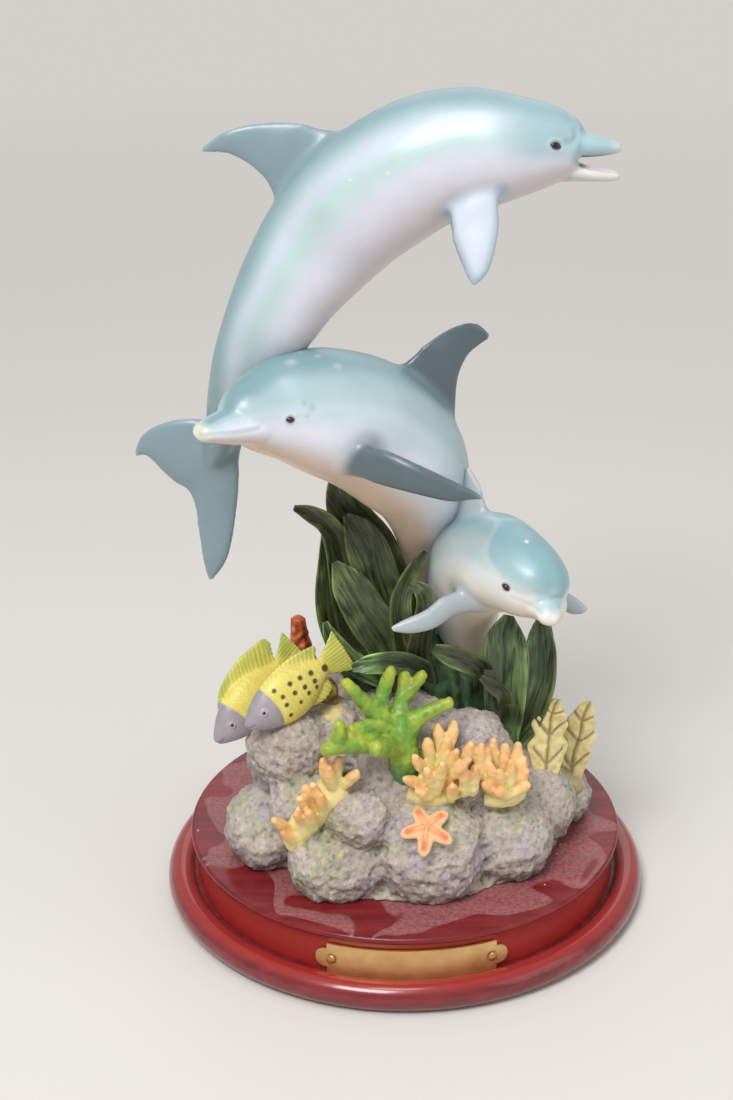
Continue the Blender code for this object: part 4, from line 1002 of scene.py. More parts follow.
# Heights of the lower lip, the gap's middle and the upper lip, and where the mouth's corner starts.
LOWER_LIP, MOUTH_MIDDLE, UPPER_LIP, MOUTH_CORNER = 196.5, 200, 204, 41
upper = dolphin(
    "upper_dolphin_casting", UPPER_SPINE, UPPER_GIRTH, UPPER_JAWS, UPPER_DORSAL,
    [UPPER_PECTORAL, mirrored(UPPER_PECTORAL, UPPER_HALFWAY, AWAY)], UPPER_FLUKE,
)
skin = skin_of(upper)
sockets = sink_eyes(upper, skin, UPPER_EYE_PIXEL, UPPER_HEAD, AWAY, at(*UPPER_NOSE), UPPER_EYE)
for line in both_flanks(skin, UPPER_CREASE_PIXELS, UPPER_HEAD, AWAY):
    press(upper, line, 1.2, 0.5)
# The upper dolphin's pale band on the upper flank is partly painted highlight.
paint, _, _, fins = airbrush(upper, UPPER_SPINE, UPPER_GIRTH, {
    "belly": "CDC2C3", "flank": "D2D2DC", "mint": "B2CAC8", "band": "BECAD3", "back": "84A0A6",
    "fin": "7F959C", "edge": "B2BEC2", "tail": 1,
})
places, outward = places_of(upper), places_of(upper, "normal")
ahead = places[:, 0] * 1000
rise = places[:, 2] * 1000 - DECK
cap = fade(20, 34, ahead) * fade(200.5, 205.5, rise)
paint = spray(paint, "8FAFB6", cap * 0.75)
beyond = fade(40.5, 42.5, ahead)
paint = spray(paint, "9FBCC3", beyond * fade(MOUTH_MIDDLE, MOUTH_MIDDLE + 1, rise) * 0.8)
paint = spray(paint, "D6D8D4", beyond * (1 - fade(MOUTH_MIDDLE - 0.5, MOUTH_MIDDLE + 0.5, rise)) * 0.8)
inside = (rise > LOWER_LIP) & (rise < UPPER_LIP)
facing_in = np.where(rise > MOUTH_MIDDLE, -outward[:, 2], outward[:, 2])
mouth = inside * fade(0.72, 0.93, facing_in) * fade(MOUTH_CORNER, MOUTH_CORNER + 1.5, ahead)
tongue = mouth * (rise < MOUTH_MIDDLE) * fade(MOUTH_CORNER + 2, MOUTH_CORNER + 6, ahead)
# Near black red inside the mouth: partly the mouth's paint, partly painted shade deep between the jaws.
paint = spray(paint, "3A1518", mouth)
paint = spray(paint, "DCC6CE", tongue)
for place, _, _, rim in sockets:
    paint = stroke(paint, upper, rim, 0.8, "C4CED4", 0.3)
    paint = dab(paint, upper, place, 1.8, "8E8A90", 0.6)
for jaw, tip_colour in zip(UPPER_JAWS, ("D6DACB", "D9D6C8")):
    paint = dab(paint, upper, at(*jaw[-1][0]), 5.0, tip_colour, 0.8, 0.9)
on_pectoral = (ahead > 8) & (ahead < 28) & (rise < 198)
paint = spray(paint, "D3D9E4", fins * on_pectoral * 0.85)
for end in (0, 1):
    edge = [at(*row[end]) for row in UPPER_PECTORAL]
    paint = stroke(paint, upper, edge, 3.0, "9DB2C0", 0.75)
for pixel in UPPER_CHIP_PIXELS:
    paint = dab(paint, upper, seen_at(skin, *pixel)[0], 0.5, "EAD9C8", 0.8)
put_paint(upper, paint)
upper.data.materials.append(satin)
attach(upper, "root")
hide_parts("upper_dolphin")
eyes("upper_dolphin_eyes", sockets, UPPER_EYE)


# Kelp: one resin casting of broad leaves that rise from a clump round the two tails. The leaves have
# thick rolled edges and a midrib, and are painted dark green with long lighter strokes.
# Each leaf has rows of a place and a half width, from its tip to its foot.
LEAVES = [
    [(-30, -2, 100, 0.8), (-26, -1, 98, 2.1), (-21, 0, 94, 2.8),
     (-18, 1, 86, 3.6), (-16, 2, 70, 4.2), (-12, 3, 48, 4)],
    [(-20, 6, 105, 0.8), (-18, 6, 99, 3.9), (-14, 6, 92, 5.6),
     (-8, 6, 84, 5.6), (-3, 4, 70, 5.1), (-1, 2, 50, 4)],
    [(-16, 0, 97, 0.8), (-13, -1, 93, 3.9), (-10, -2, 87, 5.5),
     (-7, -3, 77, 5.6), (-4, -3, 65, 4.5), (-2, -3, 48, 3.6)],
    [(-19, -7, 86, 0.8), (-16, -8, 81, 3.9), (-13, -9, 76, 5.0),
     (-9, -10, 69, 5.3), (-4, -10, 60, 4.7), (-1, -8, 47, 4)],
    [(-22, 4, 90, 0.8), (-21, 3, 83, 2.5), (-21, 2, 73, 3.4),
     (-20, 1, 64, 3.7), (-16, 1, 54, 4.0), (-12, 1, 45, 3.4)],
    [(-22, -6, 67, 0.7), (-20, -7, 62, 2.2), (-16, -8, 57, 2.8),
     (-11, -8, 53, 2.8), (-5, -6, 49, 2.6)],
    [(6, -9, 90, 0.7), (4, -10, 87, 1.7), (1, -11, 82, 2.2),
     (-1, -11, 75, 2.8), (0, -10, 63, 3.1), (2, -7, 50, 3)],
    [(2, -13, 82, 0.8), (5, -15, 81, 2.2), (6, -16, 77, 2.5),
     (5, -15, 70, 2.7), (4, -12, 60, 3.3), (6, -8, 49, 3)],
    [(-14, -26, 63, 0.8), (-10, -26, 64, 2.0), (-5, -23, 63, 2.4),
     (0, -18, 60, 2.6), (6, -10, 53, 2.6)],
    [(8, -24, 68, 1.1), (12, -24, 66, 2.4), (17, -22, 63, 2.7),
     (21, -17, 58, 2.6), (22, -8, 48, 2.6)],
    [(21, -22, 58, 0.7), (24, -21, 55, 1.8), (27, -18, 51, 2.0), (28, -12, 44, 2.2)],
    [(29, -10, 71, 1.1), (28, -12, 66, 4.1), (28, -13, 60, 5.0),
     (28, -13, 51, 4.7), (28, -11, 40, 4.2), (27, -8, 30, 4)],
    [(38, -6, 68, 0.8), (38, -7, 63, 2.8), (38, -8, 57, 3.6),
     (37, -9, 48, 4.0), (34, -8, 38, 4.0), (30, -6, 30, 3.6)],
    [(40.5, 4, 63, 0.9), (39.5, 3, 57, 2.6), (38.5, 2, 51, 3.1),
     (36.5, 1, 42, 3.4), (33, -1, 32, 3.5)],
]
CLUMP = [
    (-17, 4, 47, 5), (-12, 4, 48, 8), (-3, 4, 50, 10), (8, 2, 48, 11),
    (19, -2, 42, 10), (28, -4, 34, 8), (33, -5, 30, 5),
]
STALK = [(1, 9, 74, 3), (0, 9, 70, 6), (0, 8, 58, 8), (2, 6, 46, 9)]
LEAF_FACING = Vector((0.1, -0.9, 0.4)).normalized()
LEAF_THICKNESS, LEAF_CUP = 1.7, 0.32
CLUMP_FACET = 0.9
# Most leaves are brushed over in a dark tone. These ones are painted paler: partly a paler paint, and partly
# painted light where they face the window.
DARK_TONE, PALE_TONE = (0.5, 0.46, 0.38), (0.76, 0.88, 0.8)
PALE_LEAVES = (5, 8, 11, 12, 13)
# How much wider the rims stand than the cast core, leaf by leaf.
LEAF_SPREADS = (1.1, 1.12, 1.1, 1.15, 1.2, 1.15, 1.1, 1.1, 1.3, 1.2, 1.1, 1.3, 1.3, 1.25)


def leaf(bm, rows, number, thickness, cup, spread=1.0, rings=44, sides=28):
    """A leaf through its rows, cupped along its midrib. Its layer holds across, along and number."""
    layer = bm.verts.layers.float_vector.get("leaf") or bm.verts.layers.float_vector.new("leaf")
    rim = bm.verts.layers.float.get("rim") or bm.verts.layers.float.new("rim")
    spots = [at(*row[:3]) for row in rows]
    length = sum((b - a).length for a, b in zip(spots, spots[1:])) * 1000
    stations = []
    for i, row in enumerate(rows):
        ahead = (spots[min(i + 1, len(rows) - 1)] - spots[max(i - 1, 0)]).normalized()
        across = ahead.cross(LEAF_FACING).normalized()
        half = Vector((row[3] * spread, 0, 0))
        stations.append((spots[i], across, across.cross(ahead), half))
    ball = bmesh.ops.create_uvsphere(bm, u_segments=sides, v_segments=rings + 1, radius=1.0)["verts"]
    for vert in ball:
        ring = round(math.acos(max(-1.0, min(1.0, -vert.co.z))) / math.pi * (rings + 1))
        share = min(max((ring - 1) / (rings - 1), 0), 1)
        middle, across, facing, half = between(stations, share)
        turn = math.atan2(vert.co.y, vert.co.x)
        over = math.cos(turn) if 0 < ring < rings + 1 else 0
        half_width = half.x
        thick = min(thickness / 2, half_width) * (0.75 + 0.45 * abs(over) ** 3)
        swell = math.copysign(abs(math.sin(turn)) ** 0.6, math.sin(turn)) if 0 < ring < rings + 1 else 0
        ripple = 0.35 * math.sin(share * length / 3.1 + number * 2.3 + over * 1.2) * abs(over)
        rib = -0.45 * math.exp(-(over * half_width / 0.55) ** 2) * (1 if swell > 0 else -0.4)
        raised = swell * thick + cup * half_width * over * over
        raised += (ripple + rib) * min(1, half_width / 2)
        vert.co = middle + across * over * half_width / 1000 + facing * raised / 1000
        vert[layer] = (over * half_width, share * length, number)
        vert[rim] = abs(over)


def leaf_green(name, light, mid, dark, rib):
    """Brushed acrylic over cast resin: long strokes along each leaf, dark to the foot, pale at the rim,
    partly as painted highlight.
    """
    finish, tree, shader = new_finish(name, Roughness=0.38, Coat_Weight=0.3, Coat_Roughness=0.22)
    # Strokes run along the leaf, fine and pale, with darker ones between them.
    grown = add(tree, "Attribute", attribute_name="leaf").outputs["Vector"]
    strokes = add(tree, "Mapping", {"Vector": grown, "Scale": (0.9, 0.08, 3.7)}).outputs["Vector"]
    streak = add(tree, "TexNoise", {"Vector": strokes, "Scale": 1.0, "Detail": 4.0, "Distortion": 0.6})
    fine = add(tree, "Mapping", {"Vector": grown, "Scale": (2.6, 0.16, 1.9)}).outputs["Vector"]
    hair = add(tree, "TexNoise", {"Vector": fine, "Scale": 1.0, "Detail": 3.0}).outputs["Fac"]
    mixed = add(tree, "Math", {0: streak.outputs["Fac"], 1: hair}, operation="ADD").outputs[0]
    lit = add(tree, "MapRange", {"Value": mixed, "From Min": 0.8, "From Max": 1.25}).outputs["Result"]
    tone = add(tree, "Mix", {0: lit, 6: mid, 7: light}, data_type="RGBA").outputs[2]
    deep = add(tree, "MapRange", {"Value": mixed, "From Min": 0.95, "From Max": 0.7}).outputs["Result"]
    tone = add(tree, "Mix", {0: deep, 6: tone, 7: dark}, data_type="RGBA").outputs[2]
    parts = add(tree, "SeparateXYZ", {"Vector": grown})
    off_rib = add(tree, "Math", {0: parts.outputs["X"]}, operation="ABSOLUTE").outputs[0]
    on_rib = add(tree, "MapRange", {"Value": off_rib, "From Min": 0.75, "From Max": 0.2, "To Max": 0.6})
    tone = add(tree, "Mix", {0: on_rib.outputs["Result"], 6: tone, 7: rib}, data_type="RGBA").outputs[2]
    paint = add(tree, "Attribute", attribute_name="paint").outputs["Color"]
    tone = add(tree, "Mix", {0: 1.0, 6: tone, 7: paint}, data_type="RGBA", blend_type="MULTIPLY").outputs[2]
    tree.links.new(tone, shader.inputs["Base Color"])
    bumps = add(tree, "Bump", {"Height": hair, "Strength": 0.9, "Distance": 0.0004}).outputs["Normal"]
    tree.links.new(bumps, shader.inputs["Normal"])
    return finish


def layer_of(piece, name, field, width):
    """An array of what a vertex layer holds."""
    flat = np.empty(len(piece.data.vertices) * width, np.float32)
    piece.data.attributes[name].data.foreach_get(field, flat)
    return flat.reshape(-1, width)


bm = bmesh.new()
for number, (rows, spread) in enumerate(zip(LEAVES, LEAF_SPREADS)):
    leaf(bm, rows, number, LEAF_THICKNESS, LEAF_CUP, spread)
kelp = stand_up("kelp_leaves", bm)
places = places_of(kelp)
rim = layer_of(kelp, "rim", "value", 1)[:, 0]
numbers = layer_of(kelp, "leaf", "vector", 3)[:, 2]
# The paint attribute holds a tone here: darker to the foot, lighter in clouds, and lighter along the rims,
# partly as painted highlight on the rolled edges.
shade = np.tile(np.array(DARK_TONE), (len(places), 1))
shade[np.isin(numbers, PALE_LEAVES)] = PALE_TONE
shade *= (1 - fade(0.0, 26.0, 74 + DECK - places[:, 2] * 1000) * 0.4)[:, None]
shade *= (1 + fade(-0.1, 0.6, clouds_at(places, 9, 5.0, 2)) * 1.3)[:, None]
# Paler, yellower rims: partly painted highlight on the rolled edges.
shade *= 1 + fade(0.72, 0.97, rim)[:, None] * np.array([1.0, 0.95, 0.6])
put_paint(kelp, shade)
kelp.data.materials.append(leaf_green("brushed_green_resin", "6E7F52", "40502F", "171D10", "232C18"))
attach(kelp, "root")
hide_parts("kelp")

# The foot holds the leaves and the tails together: a low clump with folds, and a short stalk behind it.
bm = bmesh.new()
for rows, upright in ((CLUMP, Vector((0, 0, 1))), (STALK, Vector((0, 1, 0)))):
    across = Vector((0, 1, 0)) if upright.z else Vector((1, 0, 0))
    sweep(bm, [(at(*row[:3]), across * row[3] / 1000, upright * row[3] / 1000) for row in rows], 30, 28)
clump = cast("kelp_foot", bm, CLUMP_FACET, 4)
places, outward = places_of(clump), places_of(clump, "normal")
folds = np.sin(places[:, 0] * 1100 + clouds_at(places, 8, 2.0) * 5)
put_places(clump, places + outward * ((folds * 0.45 + clouds_at(places, 3, 8.0, 3) * 0.5) / 1000)[:, None])
depth = hollowness(clump, 14)
paint = np.tile(np.array(linear("2F4A2C")[:3]), (len(places), 1))
# Painted shade: near black in the folds. Painted highlight: a lighter green on the ridges.
paint = spray(paint, "10190F", fade(0.0, 0.3, depth) * 0.9)
paint = spray(paint, "557243", fade(0.02, 0.3, -depth) * 0.6)
put_paint(clump, paint)
# Green acrylic brushed over cast folds: a dull sheen, uneven by the brush.
clump.data.materials.append(painted_resin("brushed_green_resin_foot", 0.5, 0.2, 2.0, 0.06, 0.6))
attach(clump, "root")


# Fish: two small resin castings, bonded by their bellies to the rock. They are painted yellow with
# green fins, dark spots and grey heads, and the fins carry carved rays.
FISH_LENGTH, FISH_DEPTH, FISH_WIDTH, FISH_FIN_THICKNESS = 35.0, 15.0, 8.0, 1.3
FISH_FACET = 0.32
GILL_AT, GILL_CURVE = 8.6, 1.2
RAY_SPACING, SCALE_SPACING = 1.4, 1.5
RING_CLOUD_SIZE = 0.833
RING_RADIUS, RING_RISE, PUPIL_RADIUS, PUPIL_RISE = 1.3, 0.5, 0.62, 0.75
# Rows of the share of the length, and of half the depth and width there.
FISH_PROFILE = [
    (0.00, 0.12, 0.20), (0.06, 0.36, 0.50), (0.18, 0.70, 0.85), (0.36, 0.98, 1.00),
    (0.54, 0.92, 0.85), (0.70, 0.55, 0.50), (0.80, 0.30, 0.30),
]
# Fins are rows of a leading and a trailing point, as shares of the length and of half the depth.
FRONT_DORSAL = [
    ((0.16, 0.5), (0.74, 0.2)), ((0.24, 0.84), (0.78, 0.5)),
    ((0.42, 1.06), (0.82, 0.75)), ((0.6, 1.1), (0.8, 0.9)),
]
REAR_DORSAL = [
    ((0.16, 0.5), (0.78, 0.2)), ((0.22, 0.95), (0.84, 0.7)),
    ((0.36, 1.34), (0.88, 1.0)), ((0.6, 1.5), (0.86, 1.3)),
]
FISH_FINS = [
    [((0.44, -0.7), (0.74, -0.3)), ((0.55, -1.0), (0.76, -0.6)), ((0.64, -1.08), (0.76, -0.85))],
    [((0.72, 0.2), (0.72, -0.2)), ((0.88, 0.6), (0.86, -0.6)), ((1.0, 0.95), (1.0, -0.95))],
]
FRONT_NOSE, FRONT_TAIL, FRONT_CREST = (-43, -32, 48), (-18, -16, 62), (-0.4, 0.1, 0.9)
REAR_NOSE, REAR_TAIL, REAR_CREST = (-52, -26, 40), (-26, -5, 63), (-0.5, 0.1, 0.9)
FRONT_EYE_PIXEL, REAR_EYE_PIXEL = (264, 713), (232, 725)
# Painted spots by the photograph's pixel and their radius.
FRONT_SPOTS = [
    (274, 691, 0.8), (290, 684, 0.9), (300, 678, 0.9), (311, 673, 1.0), (325, 668, 1.3), (283, 697, 0.8),
    (295, 693, 0.9), (305, 687, 0.9), (315, 681, 0.9), (287, 705, 0.8), (309, 693, 0.8), (317, 687, 0.8),
    (291, 715, 0.8), (301, 702, 0.7),
]


def fish(name, nose, tail, crest, dorsal, eye_pixel, spots):
    """A fish with its fins, carved rays and scales, paint and eyes."""
    start = at(*nose)
    ahead = (at(*tail) - start).normalized()
    up = Vector(crest)
    up = (up - up.dot(ahead) * ahead).normalized()
    side = up.cross(ahead)
    half_depth = FISH_DEPTH / 2

    def spot(length_share, depth_share):
        return start + (ahead * FISH_LENGTH * length_share + up * half_depth * depth_share) / 1000

    bm = bmesh.new()
    sweep(bm, [
        (spot(length, 0), side * FISH_WIDTH / 2000 * width, up * half_depth / 1000 * depth)
        for length, depth, width in FISH_PROFILE
    ], 40, 32)
    for rows in [dorsal] + FISH_FINS:
        stations = []
        for front, rear in rows:
            lead, trail = spot(*front), spot(*rear)
            stations.append(((lead + trail) / 2, (lead - trail) / 2, side * FISH_FIN_THICKNESS / 2000))
        sweep(bm, stations, 24, 24)
    piece = cast(name, bm, FISH_FACET, 3)
    places, outward = places_of(piece), places_of(piece, "normal")
    local = places - np.array(start)
    length = local @ np.array(ahead) * 1000
    depth = local @ np.array(up) * 1000
    shares, depths, _ = zip(*FISH_PROFILE)
    girth = np.interp(length / FISH_LENGTH, shares, depths)
    past = np.abs(depth) - girth * half_depth
    tail_part = fade(0.78, 0.84, length / FISH_LENGTH)
    fin_part = np.maximum(fade(-0.3, 0.6, past), tail_part)
    on_tail, on_fin = depth * 1.7 / (0.25 + length / FISH_LENGTH), length - np.abs(depth) * 0.55
    slope = np.where(tail_part > 0.5, on_tail, on_fin)
    rays = np.sin(slope * math.tau / RAY_SPACING + clouds_at(places, 5, 41.0) * 2.5)
    waves = np.sin(depth * math.tau / SCALE_SPACING) * 1.3
    scales = np.sin(length * math.tau / SCALE_SPACING + waves)
    body_part = (1 - fin_part) * fade(9.0, 10.0, length)
    lift = rays * 0.06 * fin_part + scales * 0.035 * body_part
    past_gill = length - GILL_AT - GILL_CURVE * np.cos(depth / half_depth * 1.6)
    lift = lift - 0.25 * np.exp(-(past_gill / 0.5) ** 2) * (1 - fade(4.5, 6.5, np.abs(depth)))
    mouth = np.hypot(length - 1.2, (depth + 0.5) * 1.4)
    lip_gap = depth + 0.6 + 0.15 * length
    lift = lift - 0.3 * np.exp(-(lip_gap / 0.3) ** 2) * (1 - fade(1.4, 2.4, length))
    put_places(piece, places + outward * (lift / 1000)[:, None])
    skin = skin_of(piece)
    paint = np.tile(np.array(linear("E3D264")[:3]), (len(places), 1))
    paint = spray(paint, "EADC7C", fade(-0.5, 0.6, clouds_at(places, 5, 3.0, 2)) * 0.6)
    paint = spray(paint, "BCC65C", fade(0.2, 3.0, past) * 0.6 + tail_part * 0.35)
    green = fade(0.1, 0.9, clouds_at(places, 6, 11.0, 2)) * fade(-3.5, 0.5, past)
    paint = spray(paint, "8DA83C", green * 0.6)
    paint = spray(paint, "8F9130", fade(0.2, -0.9, rays) * fin_part * 0.4)
    paint = spray(paint, "B39A35", fade(0.3, -0.8, scales) * body_part * 0.13)
    paint = spray(paint, "9C949B", 1 - fade(-0.25, 0.25, past_gill))
    paint = spray(paint, "7A7178", np.exp(-(mouth / 1.0) ** 2) * 0.6)
    for px, py, size in spots:
        place = seen_at(skin, px, py)[0]
        flank = (place - start).dot(side)
        for turned_place in (place, place - 2 * flank * side):
            paint = dab(paint, piece, turned_place, size, "3B3420", 0.95, 0.35)
    near = seen_at(skin, *eye_pixel)
    far = skin.find_nearest(near[0] - 2 * (near[0] - start).dot(side) * side)[:2]
    for place, _ in (near, far):
        paint = dab(paint, piece, place, 1.9, "B9B1B6", 0.8, 0.4)
    put_paint(piece, paint)
    piece.data.materials.append(fish_paint)
    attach(piece, "root")
    ring, dot = bmesh.new(), bmesh.new()
    for place, normal in (near, far):
        facing = Matrix.Translation(place) @ normal.to_track_quat("Z", "Y").to_matrix().to_4x4()
        for bm, radius, rise in ((ring, RING_RADIUS, RING_RISE), (dot, PUPIL_RADIUS, PUPIL_RISE)):
            ball = bmesh.ops.create_uvsphere(bm, u_segments=24, v_segments=12, radius=radius / 1000)
            bmesh.ops.scale(bm, vec=(1, 1, rise / radius), verts=ball["verts"])
            bmesh.ops.transform(bm, matrix=facing, verts=ball["verts"])
    for part, bm, finish in (("_eye_rings", ring, eye_ring), ("_pupils", dot, eye_black)):
        small = stand_up(name + part, bm)
        small.data.materials.append(finish)
        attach(small, "root")
    return piece


# Hand-painted resin under thin varnish: a low gloss that picks out the rays and scales.
fish_paint = painted_resin("hand_painted_fish_resin", 0.42, 0.08, 2.5, 0.02, 0.5, coat=0.1)
# Pale grey enamel round the pupil, with a darker cloud in it.
eye_ring, tree, shader = new_finish("grey_enamel", Roughness=0.3)
spot = add(tree, "TexCoord").outputs["Object"]
cloud = add(tree, "TexNoise", {"Vector": spot, "Scale": 1000 / RING_CLOUD_SIZE, "Detail": 2.0}).outputs["Fac"]
tone = add(tree, "Mix", {0: cloud, 6: "8B8389", 7: "C9C1C4"}, data_type="RGBA").outputs[2]
tree.links.new(tone, shader.inputs["Base Color"])
front_fish = fish(
    "front_fish_casting", FRONT_NOSE, FRONT_TAIL, FRONT_CREST, FRONT_DORSAL, FRONT_EYE_PIXEL, FRONT_SPOTS,
)
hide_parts("front_fish")
rear_fish = fish(
    "rear_fish_casting", REAR_NOSE, REAR_TAIL, REAR_CREST, REAR_DORSAL, REAR_EYE_PIXEL, [],
)
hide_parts("rear_fish")


# Staghorn coral: one resin casting plugged into the rock. Its rounded branches are sprayed lime green,
# deeper at the foot and yellower at the tips, over a finely pitted skin.
CORAL_FACET = 0.4
STAGHORN = [
    [(1, -30, 30, 4.0), (0, -35, 40, 3.6), (-1, -34, 48, 3.4), (-1, -32, 50, 2.6)],
    [(-1, -34, 46, 3.0), (-7, -33, 52, 2.3), (-12, -33, 58, 1.7), (-15.5, -33, 62, 1.3)],
    [(-6, -33, 51, 2.2), (-6, -31.5, 57, 1.8), (-3.5, -30, 64, 1.3)],
    [(-1, -33, 47, 3.0), (-1, -30, 54, 1.9), (0, -28, 58, 1.6), (0.2, -27, 61, 1.4)],
    [(-0.5, -29.5, 55, 1.7), (2.5, -28, 58, 1.5), (5, -27, 61.5, 1.3)],
    [(0, -34, 46, 3.0), (4, -32, 51, 2.0), (12, -31, 54.8, 1.5)],
    [(-2, -35, 47, 2.6), (-7, -37, 51, 1.9), (-14, -40, 51.3, 1.7)],
    [(-1, -36, 44, 3.0), (-8, -40, 47, 2.3), (-15, -42, 48.3, 2.1), (-20.5, -44, 48, 1.8)],
    [(-17, -42.5, 48, 2.0), (-17.4, -43, 52, 1.7), (-17.4, -43, 55, 1.3)],
    [(-3, -38, 45, 2.6), (-6, -43, 48, 2.3), (-7.5, -46, 49.5, 1.9)],
]
STAGHORN_STOUTNESS = 1.18


def branch(bm, rows, rings=20, sides=20):
    """A round branch through rows of place and half thickness."""
    spots = [at(*row[:3]) for row in rows]
    stations = []
    for i, row in enumerate(rows):
        ahead = (spots[min(i + 1, len(rows) - 1)] - spots[max(i - 1, 0)]).normalized()
        across = ahead.cross(Vector((0.3, 1, 0.1))).normalized()
        stations.append((spots[i], across * row[3] / 1000, across.cross(ahead) * row[3] / 1000))
    end, half_width, half_height = stations[-1]
    for reach, share in ((0.55, 0.82), (0.9, 0.35)):
        stations.append((end + ahead * half_width.length * reach, half_width * share, half_height * share))
    sweep(bm, stations, rings, sides)


bm = bmesh.new()
for rows in STAGHORN:
    branch(bm, [(*row[:3], row[3] * STAGHORN_STOUTNESS) for row in rows])
staghorn = cast("staghorn_coral_casting", bm, CORAL_FACET, 8)
places, outward = places_of(staghorn), places_of(staghorn, "normal")
put_places(staghorn, places + outward * (clouds_at(places, 2.6, 1.0, 2) * 0.42 / 1000)[:, None])
rise = places[:, 2] * 1000 - DECK
out = near_spots(places, np.array([at(*rows[-1][:3]) for rows in STAGHORN[1:]]))
patches = clouds_at(places, 5, 7.0, 2)
paint = np.tile(np.array(linear("7A9B35")[:3]), (len(places), 1))
paint = spray(paint, "5A9A30", fade(-0.1, 0.5, patches) * 0.75)
paint = spray(paint, "B9C23C", fade(0.0, 0.5, clouds_at(places, 4, 17.0, 2)) * 0.4)
paint = spray(paint, "2F7F5C", (1 - fade(34, 40.5, rise)) * 0.9)
paint = spray(paint, "CFC644", (1 - fade(0.5, 5.0, out)) * 0.45)
# Painted shade: darker green in the hollows between the branches.
paint = spray(paint, "3E6A22", fade(0.02, 0.2, hollowness(staghorn, 10)) * 0.75)
paint = spray(paint, "3C6A2A", fade(0.2, 0.5, clouds_at(places, 1.6, 5.0, 2)) * 0.35)
put_paint(staghorn, paint)
# Hand-painted resin under thin varnish: a soft satin, mottled where the brush left it thin.
coral_paint = painted_resin("hand_painted_coral_resin", 0.45, 0.10, 2.0, 0.05, 0.6, coat=0.1)
staghorn.data.materials.append(coral_paint)
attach(staghorn, "root")
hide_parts("staghorn_coral")


# Finger corals: three resin castings of stubby fingers on a creeping foot, bonded to the rock. They are
# cream at the foot and brushed orange to the tips.
FINGER_RADIUS = 1.5
# The foot's rows are places and half thicknesses. Each finger has the photograph's pixels of its tip
# and of its root, and how far behind the plinth's axis they lie.
FINGER_CORALS = {
    "left": (
        [(-17, -36, 35, 4.5), (-22, -37, 30, 5.0), (-28, -37, 23, 4.5), (-30, -37, 17, 3.5)],
        [
            (323, 760, -40, 327, 780, -38), (338, 759, -40, 336, 780, -38), (329, 768, -42, 332, 786, -39),
            (357, 773, -42, 345, 784, -39), (305, 788, -42, 314, 806, -39), (313, 786, -43, 319, 803, -39),
            (300, 799, -44, 310, 812, -39), (321, 796, -44, 322, 814, -39), (296, 815, -43, 307, 822, -38),
            (309, 812, -45, 314, 828, -39), (274, 820, -43, 292, 832, -38), (283, 833, -42, 296, 840, -38),
        ],
    ),
    "centre": (
        [(1, -36, 32, 3.5), (7, -37, 31, 5.0), (13, -34, 32, 5.0), (18, -32, 34, 3.5)],
        [
            (438, 726, -32, 441, 752, -34), (454, 723, -31, 449, 752, -34), (427, 740, -36, 431, 762, -36),
            (415, 757, -39, 424, 773, -37), (406, 779, -41, 421, 784, -38), (427, 770, -43, 433, 790, -39),
            (442, 764, -43, 437, 790, -39), (456, 752, -40, 443, 770, -37), (468, 760, -41, 448, 779, -38),
            (471, 744, -35, 463, 768, -35), (481, 745, -34, 478, 775, -35), (487, 750, -33, 485, 778, -34),
            (465, 770, -40, 464, 793, -37), (475, 768, -38, 473, 792, -36), (447, 741, -36, 443, 762, -36),
            (418, 791, -42, 429, 796, -39), (453, 786, -42, 451, 798, -38),
        ],
    ),
    "right": (
        [(22, -32, 28, 3.5), (26, -32, 28, 4.5), (30, -29, 27, 4.5), (32, -27, 26, 3.0)],
        [
            (493, 741, -28, 495, 768, -30), (505, 746, -31, 504, 776, -32), (518, 745, -29, 514, 773, -31),
            (524, 759, -31, 517, 782, -32), (528, 785, -34, 511, 793, -33), (497, 792, -38, 508, 796, -34),
            (511, 762, -34, 510, 788, -33), (489, 765, -35, 496, 786, -34), (526, 772, -33, 515, 788, -32),
            (499, 772, -37, 503, 790, -34), (484, 784, -36, 495, 792, -34),
        ],
    ),
}
# The feet lie lower than in the solids, and two of them are slimmer.
FOOT_SHARE = {"left": 1.0, "centre": 0.7, "right": 0.7}
FOOT_DROP = (0, 1.0, -2.6)


def on_sight(px, py, y):
    """The place on a pixel's line of sight that lies y millimetres behind the plinth's axis."""
    look = look_ahead + look_right * (px - PHOTO_WIDTH / 2) / FOCAL_PIXELS
    look = look + look_up * (PHOTO_HEIGHT / 2 - py) / FOCAL_PIXELS
    place = CAMERA_PLACE + look * (y / 1000 - CAMERA_PLACE.y) / look.y
    return (place.x * 1000, place.y * 1000, place.z * 1000 - DECK)


def on_foot(foot_rows, tip):
    """The place on a coral's foot that is nearest to a finger's tip."""
    best = None
    for near, far in zip(foot_rows, foot_rows[1:]):
        for step in range(9):
            share = step / 8
            spot = [n + (f - n) * share for n, f in zip(near[:3], far[:3])]
            if best is None or math.dist(spot, tip[:3]) < math.dist(best, tip[:3]):
                best = spot
    return best


